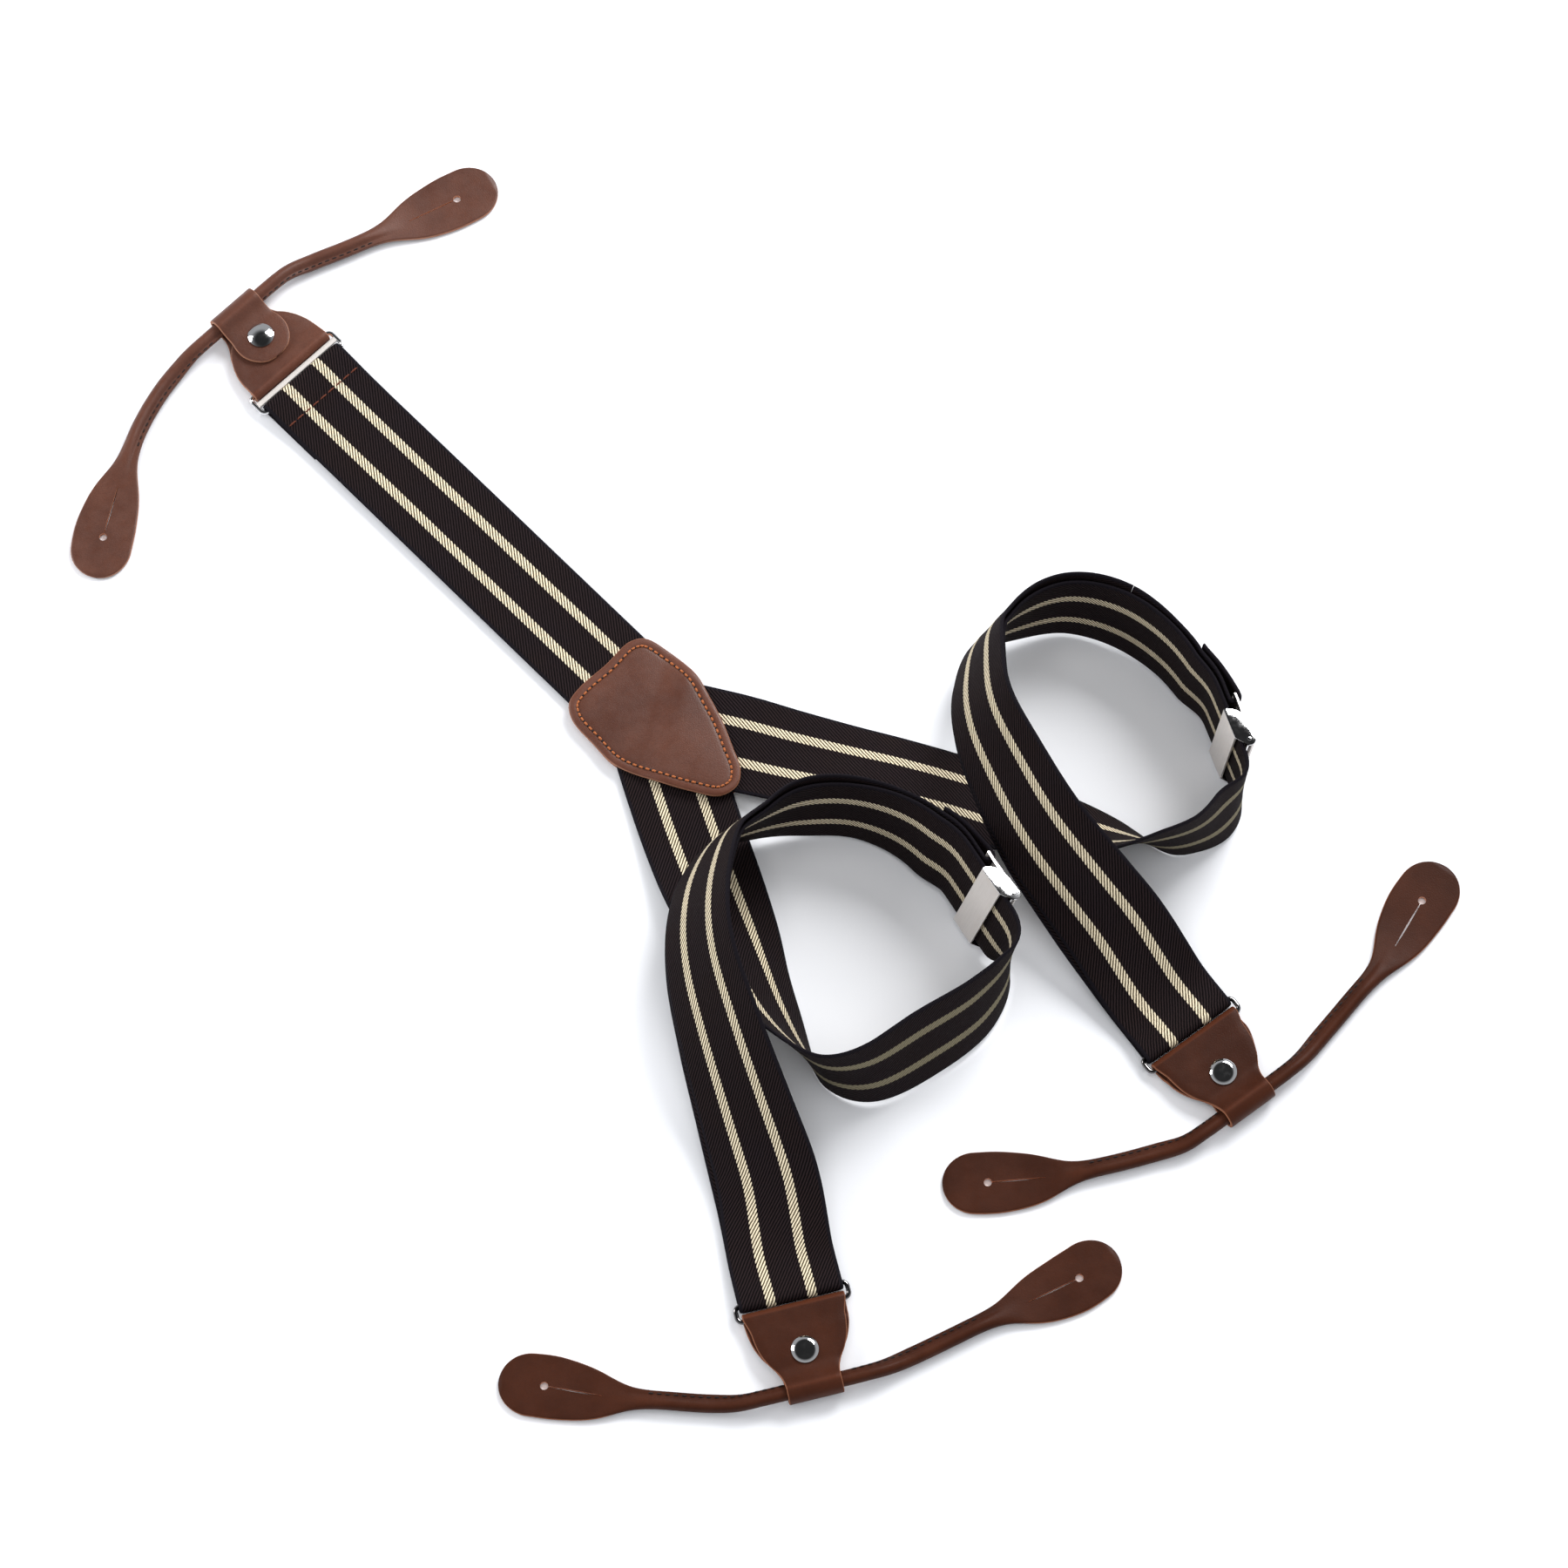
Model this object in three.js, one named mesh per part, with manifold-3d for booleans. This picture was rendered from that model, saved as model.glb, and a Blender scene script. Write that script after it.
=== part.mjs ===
// Y-back button suspenders, laid out on a table: a short back strap, a sewn leather yoke, two elastic
// shoulder straps standing in loops, a slide adjuster on each, and three wire rings that carry leather
// saddles with rolled leather button cords. Millimetres, +Z up, origin under the middle of the yoke.
import * as THREE from "three";
import { mergeVertices } from "three/addons/utils/BufferGeometryUtils.js";
import Module from "manifold-3d";

const wasm = await Module();
wasm.setup();

// ---------------------------------------------------------------- driving dimensions
const WEB_WIDTH = 35; // elastic webbing
const WEB_THICK = 1.5;
const LEATHER_THICK = 1.3;
const WIRE_DIA = 1.6; // ring wire
const GAP = 0.3; // clearance between separate pieces

const BAR_HEIGHT = 2.8; // ring bars above the table
const RING_HALF_WIDTH = 18.8; // to the middle of the side wires
const FRONT_RING_LENGTH = 5.4; // webbing bar to leather bar
const REAR_RING_LENGTH = 7.6;
const REAR_MIDDLE_BAR = 3.9;

const RIVET_X = 14.3; // from the leather bar
const RIVET_HOLE_DIA = 3.6;
const RIVET_POST_DIA = 3;
const RIVET_CAP_DIA = 9;

const TUNNEL_X = 26.5; // middle of the cord tunnel, from the leather bar
const TUNNEL_Z = 4.6;
const TUNNEL_MID_RADIUS = 3.65;
const CORD_DIA = 5.2; // rolled leather cord
const TAB_THICK = 1.5; // flat buttonhole tab
const TAB_WIDTH = 21;
const BUTTON_HOLE_DIA = 2.7;
const BUTTON_HOLE_FROM_TIP = 15;
const SLIT_LENGTH = 19;
const SLIT_WIDTH = 0.9;

const LAYER_PITCH = 1.95; // between the middles of two webbing layers lying together
const RETURN_SHIFT = 2.5; // the returning layer stands this much above the first one
const TAIL_START = 32; // sewn tail, from the adjuster's middle
const RETURN_END = 44; // where the returning layer stops, from the adjuster's middle

const YOKE_BOTTOM_Z = 0;
const YOKE_LEVEL_1 = 2.35; // middle of the back strap and the right strap inside the yoke
const YOKE_TOP_Z = 5.3;
const STITCH_INSET = 3;

// Ring positions: the middle of each webbing bar and the direction away from the webbing.
const RIGHT_FRONT = { x: 45.9, y: -202.9, heading: -76 };
const LEFT_FRONT = { x: 177.5, y: -112.2, heading: -53.5 };
const REAR = { x: -123, y: 124, heading: 134.5 };

// Routes of the shoulder straps from the yoke to the front rings: x, y, z of the middle of the strap,
// and its roll in degrees, 0 lying face up, 90 standing on its left edge, 180 lying face down.
const RIGHT_ROUTE = [
  [2, -8, YOKE_LEVEL_1, 0], [7.5, -26, YOKE_LEVEL_1, 0], [13, -43, 2.7, 3], [19, -60, 4, 9],
  [25, -76, 7.2, 22], [31.5, -92, 12.2, 41], [39, -109, 15.2, 54], [48, -123, 17.6, 73],
  [58.5, -132, 18, 91], [73, -132, 18.5, 107], [90.5, -122, 18.5, 113], [108.5, -109, 18.4, 107],
  [118, -93.5, 19, 91], [111.5, -78, 19.8, 76], [100, -62, 19.8, 70], [85.5, -48, 18.7, 74],
  [68.5, -41, 18.2, 79], [51, -41, 19, 82], [36.5, -45.5, 20.5, 95], [24.5, -53.5, 24.5, 108],
  [18, -67, 28.5, 120], [15.5, -83, 30, 127], [17, -100, 28, 132], [22.5, -120.5, 23.5, 139],
  [30, -144, 14.5, 149], [38.5, -171.5, 6, 165], [43.5, -193.1, 1.75, 178],
];
const LEFT_ROUTE = [
  [9, -6.5, 4.15, 0], [28, -11.2, 4.1, 0], [45.5, -16, 4.3, 6], [63.5, -20.5, 5, 13],
  [82, -25.2, 6.4, 18], [101, -31, 7.2, 20], [120, -38, 8, 22], [138.5, -45, 10.4, 33],
  [156, -50, 15.4, 57], [171, -51.5, 18, 83], [182.5, -48.5, 18.6, 93], [191, -42, 19, 101],
  [195.5, -33, 19.2, 96], [193.3, -19, 19.8, 87], [185, -1.5, 19.7, 84], [173.5, 16, 18.8, 81],
  [158, 28, 18.4, 79], [140.5, 32.5, 18.5, 82], [124.5, 28, 20, 90], [113, 19, 23, 105],
  [109.5, 4.5, 28, 116], [110.5, -12, 31, 123], [117.5, -30.5, 31, 131], [128.5, -52, 29, 139],
  [143.5, -71.5, 21, 149], [160.5, -91, 9, 164], [171.5, -104.1, 1.75, 178],
];
const RIGHT_ADJUSTER_AT = 13.17; // place along the route, counted in stations
const LEFT_ADJUSTER_AT = 13.05;

// Routes of the button cords, in each ring's own frame: x away from the webbing bar, y to the left.
const RIGHT_FRONT_CORD = [
  [5, -99], [10, -85], [18.5, -66], [26, -45], [29.8, -33], [31.6, -25], [31.9, -17], [31.9, 0],
  [31.9, 17], [31.5, 25], [30, 34], [26.8, 49], [22.5, 68], [18, 91], [11.5, 107],
];
const LEFT_FRONT_CORD = [
  [-6, -97], [2.5, -85], [12.5, -69], [22, -50], [28.3, -34], [31.4, -25], [31.9, -17], [31.9, 0],
  [31.9, 17], [31.3, 25], [29.3, 34], [25.5, 50], [21, 68], [12, 90], [7, 106],
];
const REAR_CORD = [
  [10, -100.5], [14.5, -84.5], [20, -66], [27, -45], [31.5, -33], [33.7, -25], [34.1, -17], [34.1, 0],
  [34.1, 17], [34, 25], [32.6, 36], [27, 53], [17.5, 70], [6, 88.5], [-4, 101],
];

// Yoke outline, in the order it is sewn.
const YOKE_OUTLINE = [
  [-9, 25.4], [-3.5, 26.7], [4.7, 21.8], [13.9, 13.2], [18.5, 5], [23, -4], [26.5, -13.3],
  [29.2, -21.5], [28, -27.5], [22.5, -30.9], [13, -29.3], [-1.7, -24.6], [-13.8, -19],
  [-21.3, -11.1], [-28, -3], [-29.2, 3], [-25.7, 8.8], [-17, 17],
];

// ---------------------------------------------------------------- materials
function material(color, roughness, metalness) {
  return new THREE.MeshStandardMaterial({ color, roughness, metalness });
}
const webbing = material(0x1c1513, 0.85, 0);
const leather = material(0x6b4436, 0.5, 0);
const chrome = material(0xd9d9dc, 0.15, 1);
const orangeThread = material(0xb5622c, 0.8, 0);

// ---------------------------------------------------------------- solids
const UP = new THREE.Vector3(0, 0, 1);

function vec(x, y, z) {
  return new THREE.Vector3(x, y, z);
}

function radians(degrees) {
  return THREE.MathUtils.degToRad(degrees);
}

// A closed solid through rings of points. Each ring runs counterclockwise about the way forward.
// crossed(i, j) says which way the quad from ring i, side j is split.
function loft(rings, endless = false, crossed = () => false) {
  const count = rings[0].length;
  const positions = rings.flat().flatMap((p) => [p.x, p.y, p.z]);
  const index = [];
  const last = endless ? rings.length : rings.length - 1;
  for (let i = 0; i < last; i++) {
    const near = i * count;
    const far = ((i + 1) % rings.length) * count;
    for (let j = 0; j < count; j++) {
      const k = (j + 1) % count;
      if (crossed(i, j)) {
        index.push(near + j, near + k, far + j, near + k, far + k, far + j);
      } else {
        index.push(near + j, near + k, far + k, near + j, far + k, far + j);
      }
    }
  }
  if (!endless) {
    const end = (rings.length - 1) * count;
    for (let j = 1; j < count - 1; j++) {
      index.push(0, j + 1, j, end, end + j, end + j + 1);
    }
  }
  const geometry = new THREE.BufferGeometry();
  geometry.setAttribute("position", new THREE.Float32BufferAttribute(positions, 3));
  geometry.setIndex(index);
  return geometry;
}

// A strip's section, as offsets along its normal and its width.
function stripSection(halfThick, halfWidth) {
  return [
    [halfThick, -halfWidth], [halfThick, halfWidth], [-halfThick, halfWidth], [-halfThick, -halfWidth],
  ];
}

// An oval section with count points.
function ovalSection(halfThick, halfWidth, count) {
  return Array.from({ length: count }, (_, i) => {
    const angle = ((i + 0.5) / count) * 2 * Math.PI;
    return [halfThick * Math.cos(angle), halfWidth * Math.sin(angle)];
  });
}

// Sweeps sections along stations { p, w, section, back }: p the middle, w the width direction. The two
// faces of a twisting strip are split alike, and so is a layer that runs back along the first one.
function sweep(stations, endless = false) {
  const n = stations.length;
  const rings = stations.map((station, i) => {
    const before = stations[endless ? (i + n - 1) % n : Math.max(i - 1, 0)];
    const after = stations[endless ? (i + 1) % n : Math.min(i + 1, n - 1)];
    const forward = after.p.clone().sub(before.p).normalize();
    const normal = station.w.clone().cross(forward).normalize();
    const width = forward.clone().cross(normal);
    return station.section.map(([a, b]) =>
      station.p.clone().addScaledVector(normal, a).addScaledVector(width, b));
  });
  const isStrip = stations[0].section.length === 4;
  return loft(rings, endless, (i, j) => isStrip && (j >= 2) !== Boolean(stations[i].back));
}

function solid(geometry) {
  const bare = geometry.clone();
  bare.deleteAttribute("normal");
  bare.deleteAttribute("uv");
  const merged = mergeVertices(bare, 1e-5);
  return new wasm.Manifold(new wasm.Mesh({
    numProp: 3,
    vertProperties: new Float32Array(merged.attributes.position.array),
    triVerts: new Uint32Array(merged.index.array),
  }));
}

function geometryOf(body) {
  const mesh = body.getMesh();
  const geometry = new THREE.BufferGeometry();
  geometry.setAttribute("position", new THREE.BufferAttribute(mesh.vertProperties, 3));
  geometry.setIndex(new THREE.BufferAttribute(mesh.triVerts, 1));
  return geometry;
}

function cut(geometry, ...tools) {
  return geometryOf(tools.reduce((body, tool) => body.subtract(solid(tool)), solid(geometry)));
}

function join(...geometries) {
  return geometryOf(geometries.map(solid).reduce((a, b) => a.add(b)));
}

function block(x0, x1, y0, y1, z0, z1) {
  const box = new THREE.BoxGeometry(x1 - x0, y1 - y0, z1 - z0);
  return box.translate((x0 + x1) / 2, (y0 + y1) / 2, (z0 + z1) / 2);
}

function upright(diameter, z0, z1, x, y, sides = 16) {
  const cylinder = new THREE.CylinderGeometry(diameter / 2, diameter / 2, z1 - z0, sides);
  return cylinder.rotateX(Math.PI / 2).translate(x, y, (z0 + z1) / 2);
}

function crossRod(diameter, length, x, z, sides = 16) {
  return new THREE.CylinderGeometry(diameter / 2, diameter / 2, length, sides).translate(x, 0, z);
}

function mesh(name, geometry, look) {
  const piece = new THREE.Mesh(geometry, look);
  piece.name = name;
  if (!geometry.attributes.normal) geometry.computeVertexNormals();
  return piece;
}

// ---------------------------------------------------------------- strap route
const STRAIGHT_RANGE = [-9, 15]; // the strap is straight over this stretch about its adjuster
const STRAIGHT_FADE = 14; // and turns back into its route over this length

// The strap's middle, roll and directions at any place along its route.
function strapRoute(stations, end, adjusterAt) {
  const bar = vec(end.x, end.y, BAR_HEIGHT - WEB_THICK / 2 - WIRE_DIA / 2 - GAP);
  const all = [...stations, [bar.x, bar.y, bar.z, 180]];
  const middle = new THREE.CatmullRomCurve3(all.map(([x, y, z]) => vec(x, y, z)), false, "catmullrom");
  const rolls = new THREE.CatmullRomCurve3(all.map((s) => vec(s[3], 0, 0)), false, "catmullrom");
  const spans = all.length - 1;
  const centre = middle.getPoint(adjusterAt / spans);
  const along = middle.getTangent(adjusterAt / spans).setZ(0).normalize();
  const roll = rolls.getPoint(adjusterAt / spans).x;

  function place(at) {
    const p = middle.getPoint(at / spans);
    const distance = p.clone().sub(centre).dot(along);
    const near = Math.abs(at - adjusterAt) < 3;
    const outside = Math.max(STRAIGHT_RANGE[0] - distance, distance - STRAIGHT_RANGE[1]);
    const fade = outside / STRAIGHT_FADE;
    const keep = near ? 1 - THREE.MathUtils.smoothstep(fade, 0, 1) : 0;
    p.lerp(centre.clone().addScaledVector(along, distance), keep);
    return { p, roll: THREE.MathUtils.lerp(rolls.getPoint(at / spans).x, roll, keep) };
  }

  function frame(at) {
    const step = 0.02;
    const here = place(at);
    const ahead = place(Math.min(at + step, spans)).p;
    const forward = ahead.sub(place(Math.max(at - step, 0)).p).normalize();
    const right = forward.clone().cross(UP).normalize();
    const up = right.clone().cross(forward);
    const angle = radians(here.roll);
    const w = right.clone().multiplyScalar(Math.cos(angle)).addScaledVector(up, Math.sin(angle));
    return { p: here.p, forward, w, n: w.clone().cross(forward) };
  }

  // Place along the route at a distance from the adjuster, positive towards the ring.
  function fromAdjuster(distance) {
    const step = 0.02;
    let at = adjusterAt;
    let walked = 0;
    while (walked < Math.abs(distance)) {
      const next = at + Math.sign(distance) * step;
      walked += place(next).p.distanceTo(place(at).p);
      at = next;
    }
    return at;
  }
  return { frame, fromAdjuster, spans, adjusterAt };
}

const WEB_SECTION = stripSection(WEB_THICK / 2, WEB_WIDTH / 2);
const FOLD_RADIUS = WIRE_DIA / 2 + GAP + WEB_THICK / 2;
const FOLD_STEPS = 8;

// Half a turn of webbing round a bar, from one side of the middle plane to the other.
function foldStations(centre, outward, from, w) {
  return Array.from({ length: FOLD_STEPS + 1 }, (_, i) => {
    const angle = (i / FOLD_STEPS) * Math.PI;
    const p = centre.clone()
      .addScaledVector(from, FOLD_RADIUS * Math.cos(angle))
      .addScaledVector(outward, FOLD_RADIUS * Math.sin(angle));
    return { p, w, section: WEB_SECTION };
  });
}

function headingVector(end) {
  return vec(Math.cos(radians(end.heading)), Math.sin(radians(end.heading)), 0);
}

// The shoulder strap: out of the yoke, through the adjuster, round the ring bar and back again.
function shoulderStrap(route, end) {
  const perSpan = 3;
  const stations = [];
  for (let i = 0; i < route.spans * perSpan; i++) {
    const { p, w } = route.frame(i / perSpan);
    stations.push({ p, w, section: WEB_SECTION });
  }
  const outward = headingVector(end);
  const left = UP.clone().cross(outward);
  const bar = vec(end.x, end.y, BAR_HEIGHT);
  stations.push(...foldStations(bar, outward, UP.clone().negate(), left));
  const returnEnd = Math.ceil(route.fromAdjuster(RETURN_END) * perSpan);
  for (let i = route.spans * perSpan - 1; i >= returnEnd; i--) {
    stations.push(returnStation(route, end, i / perSpan));
  }
  return sweep(stations);
}

// A place on the returning layer, which lies on the outside of the first one.
function returnStation(route, end, at) {
  const { p, w, n } = route.frame(at);
  const fromBar = Math.hypot(p.x - end.x, p.y - end.y);
  const opening = 1 - THREE.MathUtils.smoothstep(fromBar, 0, 18);
  const offset = LAYER_PITCH + (2 * FOLD_RADIUS - LAYER_PITCH) * opening;
  const pastTail = at - route.fromAdjuster(TAIL_START);
  const shift = RETURN_SHIFT * THREE.MathUtils.smoothstep(pastTail, 0, 2)
    * THREE.MathUtils.smoothstep(fromBar, 12, 45);
  p.addScaledVector(n, -offset).addScaledVector(w, shift);
  return { p, w, section: WEB_SECTION, back: true };
}

// ---------------------------------------------------------------- back strap
const BACK_STRAP_START = 6; // from the yoke's middle
const BACK_FOLD_LENGTH = 25; // turned under at the ring
const BACK_SEAM_FROM_BAR = 20;
const BACK_LIE_Z = 2.75; // middle of the upper layer over the turned end

function backStrap(end) {
  const outward = headingVector(end);
  const right = outward.clone().cross(UP);
  const bar = vec(end.x, end.y, BAR_HEIGHT);
  const length = Math.hypot(end.x, end.y);
  const top = BAR_HEIGHT + FOLD_RADIUS;
  const heights = [
    [BACK_STRAP_START, YOKE_LEVEL_1], [40, YOKE_LEVEL_1], [length - 45, BACK_LIE_Z],
    [length - 22, BACK_LIE_Z + 0.1], [length - 12, 3.4], [length - 6, 4.2],
  ];
  const stations = heights.map(([from, z]) => {
    const p = vec(end.x, end.y, 0).addScaledVector(outward, from - length).setZ(z);
    return { p, w: right, section: WEB_SECTION };
  });
  stations.push(...foldStations(bar, outward, UP, right));
  const bottom = 2 * BAR_HEIGHT - top;
  for (const back of [8, 16, BACK_FOLD_LENGTH]) {
    const p = vec(end.x, end.y, 0).addScaledVector(outward, -back).setZ(bottom);
    stations.push({ p, w: right, section: WEB_SECTION });
  }
  return sweep(stations);
}

const SEAM_THREAD_DIA = 0.6;
const SEAM_HALF_LENGTH = 15.5;

// The row of stitches that closes the turned end, on top of the strap.
function backSeam(end) {
  const outward = headingVector(end);
  const z = BACK_LIE_Z + 0.1 + WEB_THICK / 2 + SEAM_THREAD_DIA / 2 + 0.2;
  const seam = crossRod(SEAM_THREAD_DIA, 2 * SEAM_HALF_LENGTH, 0, 0, 8);
  const piece = mesh("rear_seam_thread", seam, orangeThread);
  piece.position.set(end.x, end.y, z).addScaledVector(outward, -BACK_SEAM_FROM_BAR);
  piece.rotation.z = radians(end.heading);
  return piece;
}

// ---------------------------------------------------------------- yoke
const YOKE_BOTTOM_THICK = 1.3;
const YOKE_TOP_THICK = 1.4;
const YOKE_POINTS = 44;
const YOKE_BEVEL = 0.3;

function yokeCurve() {
  const points = YOKE_OUTLINE.map(([x, y]) => vec(x, y, 0));
  return new THREE.CatmullRomCurve3(points, true, "centripetal");
}

// The yoke's outline moved inwards.
function yokeInset(distance, count = YOKE_POINTS) {
  const curve = yokeCurve();
  return Array.from({ length: count }, (_, i) => {
    const p = curve.getPointAt(i / count);
    const inward = curve.getTangentAt(i / count).cross(UP);
    return p.addScaledVector(inward, distance);
  });
}

function yokePlate(z0, thick, inset, bevel) {
  const outline = yokeInset(inset + bevel).map((p) => new THREE.Vector2(p.x, p.y));
  const plate = new THREE.ExtrudeGeometry(new THREE.Shape(outline), {
    depth: thick - 2 * bevel, bevelEnabled: bevel > 0, bevelSize: bevel, bevelThickness: bevel,
    bevelSegments: 1, steps: 1,
  });
  return plate.translate(0, 0, z0 + bevel);
}

const STITCH_DIA = 0.7;

function yokeStitching() {
  const z = YOKE_TOP_Z + YOKE_TOP_THICK + STITCH_DIA / 2 + 0.1;
  const section = ovalSection(STITCH_DIA / 2, STITCH_DIA / 2, 5);
  const line = yokeInset(STITCH_INSET);
  const stations = line.map((p, i) => {
    const forward = line[(i + 1) % line.length].clone().sub(line.at(i - 1));
    return { p: p.clone().setZ(z), w: forward.cross(UP).normalize(), section };
  });
  return sweep(stations, true);
}

// ---------------------------------------------------------------- slide adjuster
// Its own frame: x towards the ring, y towards the strap's left edge, z into the strap's loop.
const CHEEK_Y = [17.7, 18.2];
const EAR_Y = [18.4, 19];
const HINGE_X = -6;
const HINGE_Z = -2.4;
const HINGE_DIA = 1.4;
const HINGE_PLAY = 0.08;
const COVER_X = [-4, 6.5];
const COVER_Z = [1.2, 2];
const END_BAR_X = 10.5;
const END_BAR_Z = -3.8;
const TAIL_FIRST_Z = END_BAR_Z + FOLD_RADIUS;
const TAIL_LAST_Z = -4.5;
const TAIL_LAST_LENGTH = 29;

function sidePlate(outline, [y0, y1]) {
  const shape = new THREE.Shape(outline.map(([x, z]) => new THREE.Vector2(x, z)));
  const plate = new THREE.ExtrudeGeometry(shape, { depth: y1 - y0, bevelEnabled: false });
  return plate.rotateX(Math.PI / 2).translate(0, y1, 0);
}

function arcPoints(x, z, radius, from, to, steps) {
  return Array.from({ length: steps + 1 }, (_, i) => {
    const angle = radians(from + ((to - from) * i) / steps);
    return [x + radius * Math.cos(angle), z + radius * Math.sin(angle)];
  });
}

function mirrored([y0, y1], side) {
  return side > 0 ? [y0, y1] : [-y1, -y0];
}

function leverGeometry() {
  const ear = [
    [COVER_X[0], COVER_Z[1]], ...arcPoints(HINGE_X, HINGE_Z, 2.2, 150, 300, 8),
    [-2.6, -2.2], [2.6, 0.3], [COVER_X[1], COVER_Z[0]], [COVER_X[1], COVER_Z[1]],
  ];
  const cover = block(...COVER_X, -EAR_Y[1], EAR_Y[1], ...COVER_Z);
  const ears = [1, -1].map((side) => sidePlate(ear, mirrored(EAR_Y, side)));
  const hole = crossRod(HINGE_DIA + 2 * HINGE_PLAY, 50, HINGE_X, HINGE_Z);
  return cut(join(cover, ...ears), hole);
}

function frameGeometry() {
  const cheek = [
    ...arcPoints(HINGE_X, HINGE_Z, 2, 90, 270, 8), [END_BAR_X, END_BAR_Z - 0.7],
    ...arcPoints(END_BAR_X, END_BAR_Z, 0.8, -60, 90, 5), [1, -2.9], [0, -0.4],
  ];
  const cheeks = [1, -1].map((side) => sidePlate(cheek, mirrored(CHEEK_Y, side)));
  const back = block(-7, 7.4, -CHEEK_Y[1] + 0.1, CHEEK_Y[1] - 0.1, HINGE_Z - 2, HINGE_Z - 1.2);
  const bar = crossRod(WIRE_DIA - 0.2, 2 * CHEEK_Y[1] - 0.2, END_BAR_X, END_BAR_Z, 10);
  const hole = crossRod(HINGE_DIA + 2 * HINGE_PLAY, 50, HINGE_X, HINGE_Z);
  return cut(join(back, bar, ...cheeks), hole);
}

// The sewn tail: along the strap's outside, round the adjuster's end bar and back on itself.
function tailGeometry(route) {
  const at = (distance, z, back = false) => {
    const { p, n, w } = route.frame(route.fromAdjuster(distance));
    return { p: p.addScaledVector(n, z), w, section: WEB_SECTION, back };
  };
  const { p, n, w, forward } = route.frame(route.adjusterAt);
  const bar = p.addScaledVector(forward, END_BAR_X).addScaledVector(n, END_BAR_Z);
  const first = [TAIL_START, 28, 24, 20, 16].map((distance) => {
    const lift = 0.4 * THREE.MathUtils.smoothstep(distance, 14, 24);
    return at(distance, TAIL_FIRST_Z - lift, true);
  });
  const last = [14, 17, 20, 23, 26, TAIL_LAST_LENGTH].map((distance) => {
    const drop = THREE.MathUtils.smoothstep(distance, END_BAR_X, 20);
    return at(distance, THREE.MathUtils.lerp(END_BAR_Z - FOLD_RADIUS, TAIL_LAST_Z, drop));
  });
  const fold = foldStations(bar, forward.negate(), n, w);
  return sweep([...first, ...fold, ...last]);
}

function adjuster(side, route) {
  const { p, n, w, forward } = route.frame(route.adjusterAt);
  const group = new THREE.Group();
  group.applyMatrix4(new THREE.Matrix4().makeBasis(forward, w.negate(), n).setPosition(p));
  const pin = crossRod(HINGE_DIA, 2 * EAR_Y[1] + 0.8, HINGE_X, HINGE_Z);
  group.add(
    mesh(`${side}_adjuster_frame`, frameGeometry(), chrome),
    mesh(`${side}_adjuster_lever`, leverGeometry(), chrome),
    mesh(`${side}_adjuster_pin`, pin, chrome),
  );
  return group;
}

// ---------------------------------------------------------------- rings
const RING_CORNER = 1.8;

function ringGeometry(length, middleBar) {
  const y = RING_HALF_WIDTH - RING_CORNER;
  const corners = [
    [length - RING_CORNER, y, 0], [RING_CORNER, y, 90],
    [RING_CORNER, -y, 180], [length - RING_CORNER, -y, 270],
  ];
  const path = corners.flatMap(([cx, cy, from]) =>
    arcPoints(cx, cy, RING_CORNER, from, from + 90, 4));
  const section = ovalSection(WIRE_DIA / 2, WIRE_DIA / 2, 8);
  const wire = sweep(path.map(([x, yy], i) => {
    const [ax, ay] = path[(i + 1) % path.length];
    const [bx, by] = path[(i + path.length - 1) % path.length];
    const w = vec(ay - by, bx - ax, 0).normalize();
    return { p: vec(x, yy, BAR_HEIGHT), w, section };
  }), true);
  if (!middleBar) return wire;
  const bar = block(middleBar - 1, middleBar + 1, -RING_HALF_WIDTH, RING_HALF_WIDTH,
    BAR_HEIGHT - 0.6, BAR_HEIGHT + 0.6);
  return join(wire, bar);
}

// ---------------------------------------------------------------- leather saddles
// In a frame on the leather bar: a round-ended flap, a fold round the bar, a bell that narrows to a
// neck, the tunnel round the cord and a tongue back under (or over) the flap, riveted through all.
const FLAP_Z = 3.35;
const LOW_Z = 1.75;
const HIGH_Z = 4.95;
const BELL = [[4.5, 15.9], [8, 15.5], [12, 14.7], [16, 13], [19.5, 10.8]]; // x, half width
const NECK_HALF = 9.2;
const SADDLE_HALF = 17.2;

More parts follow.
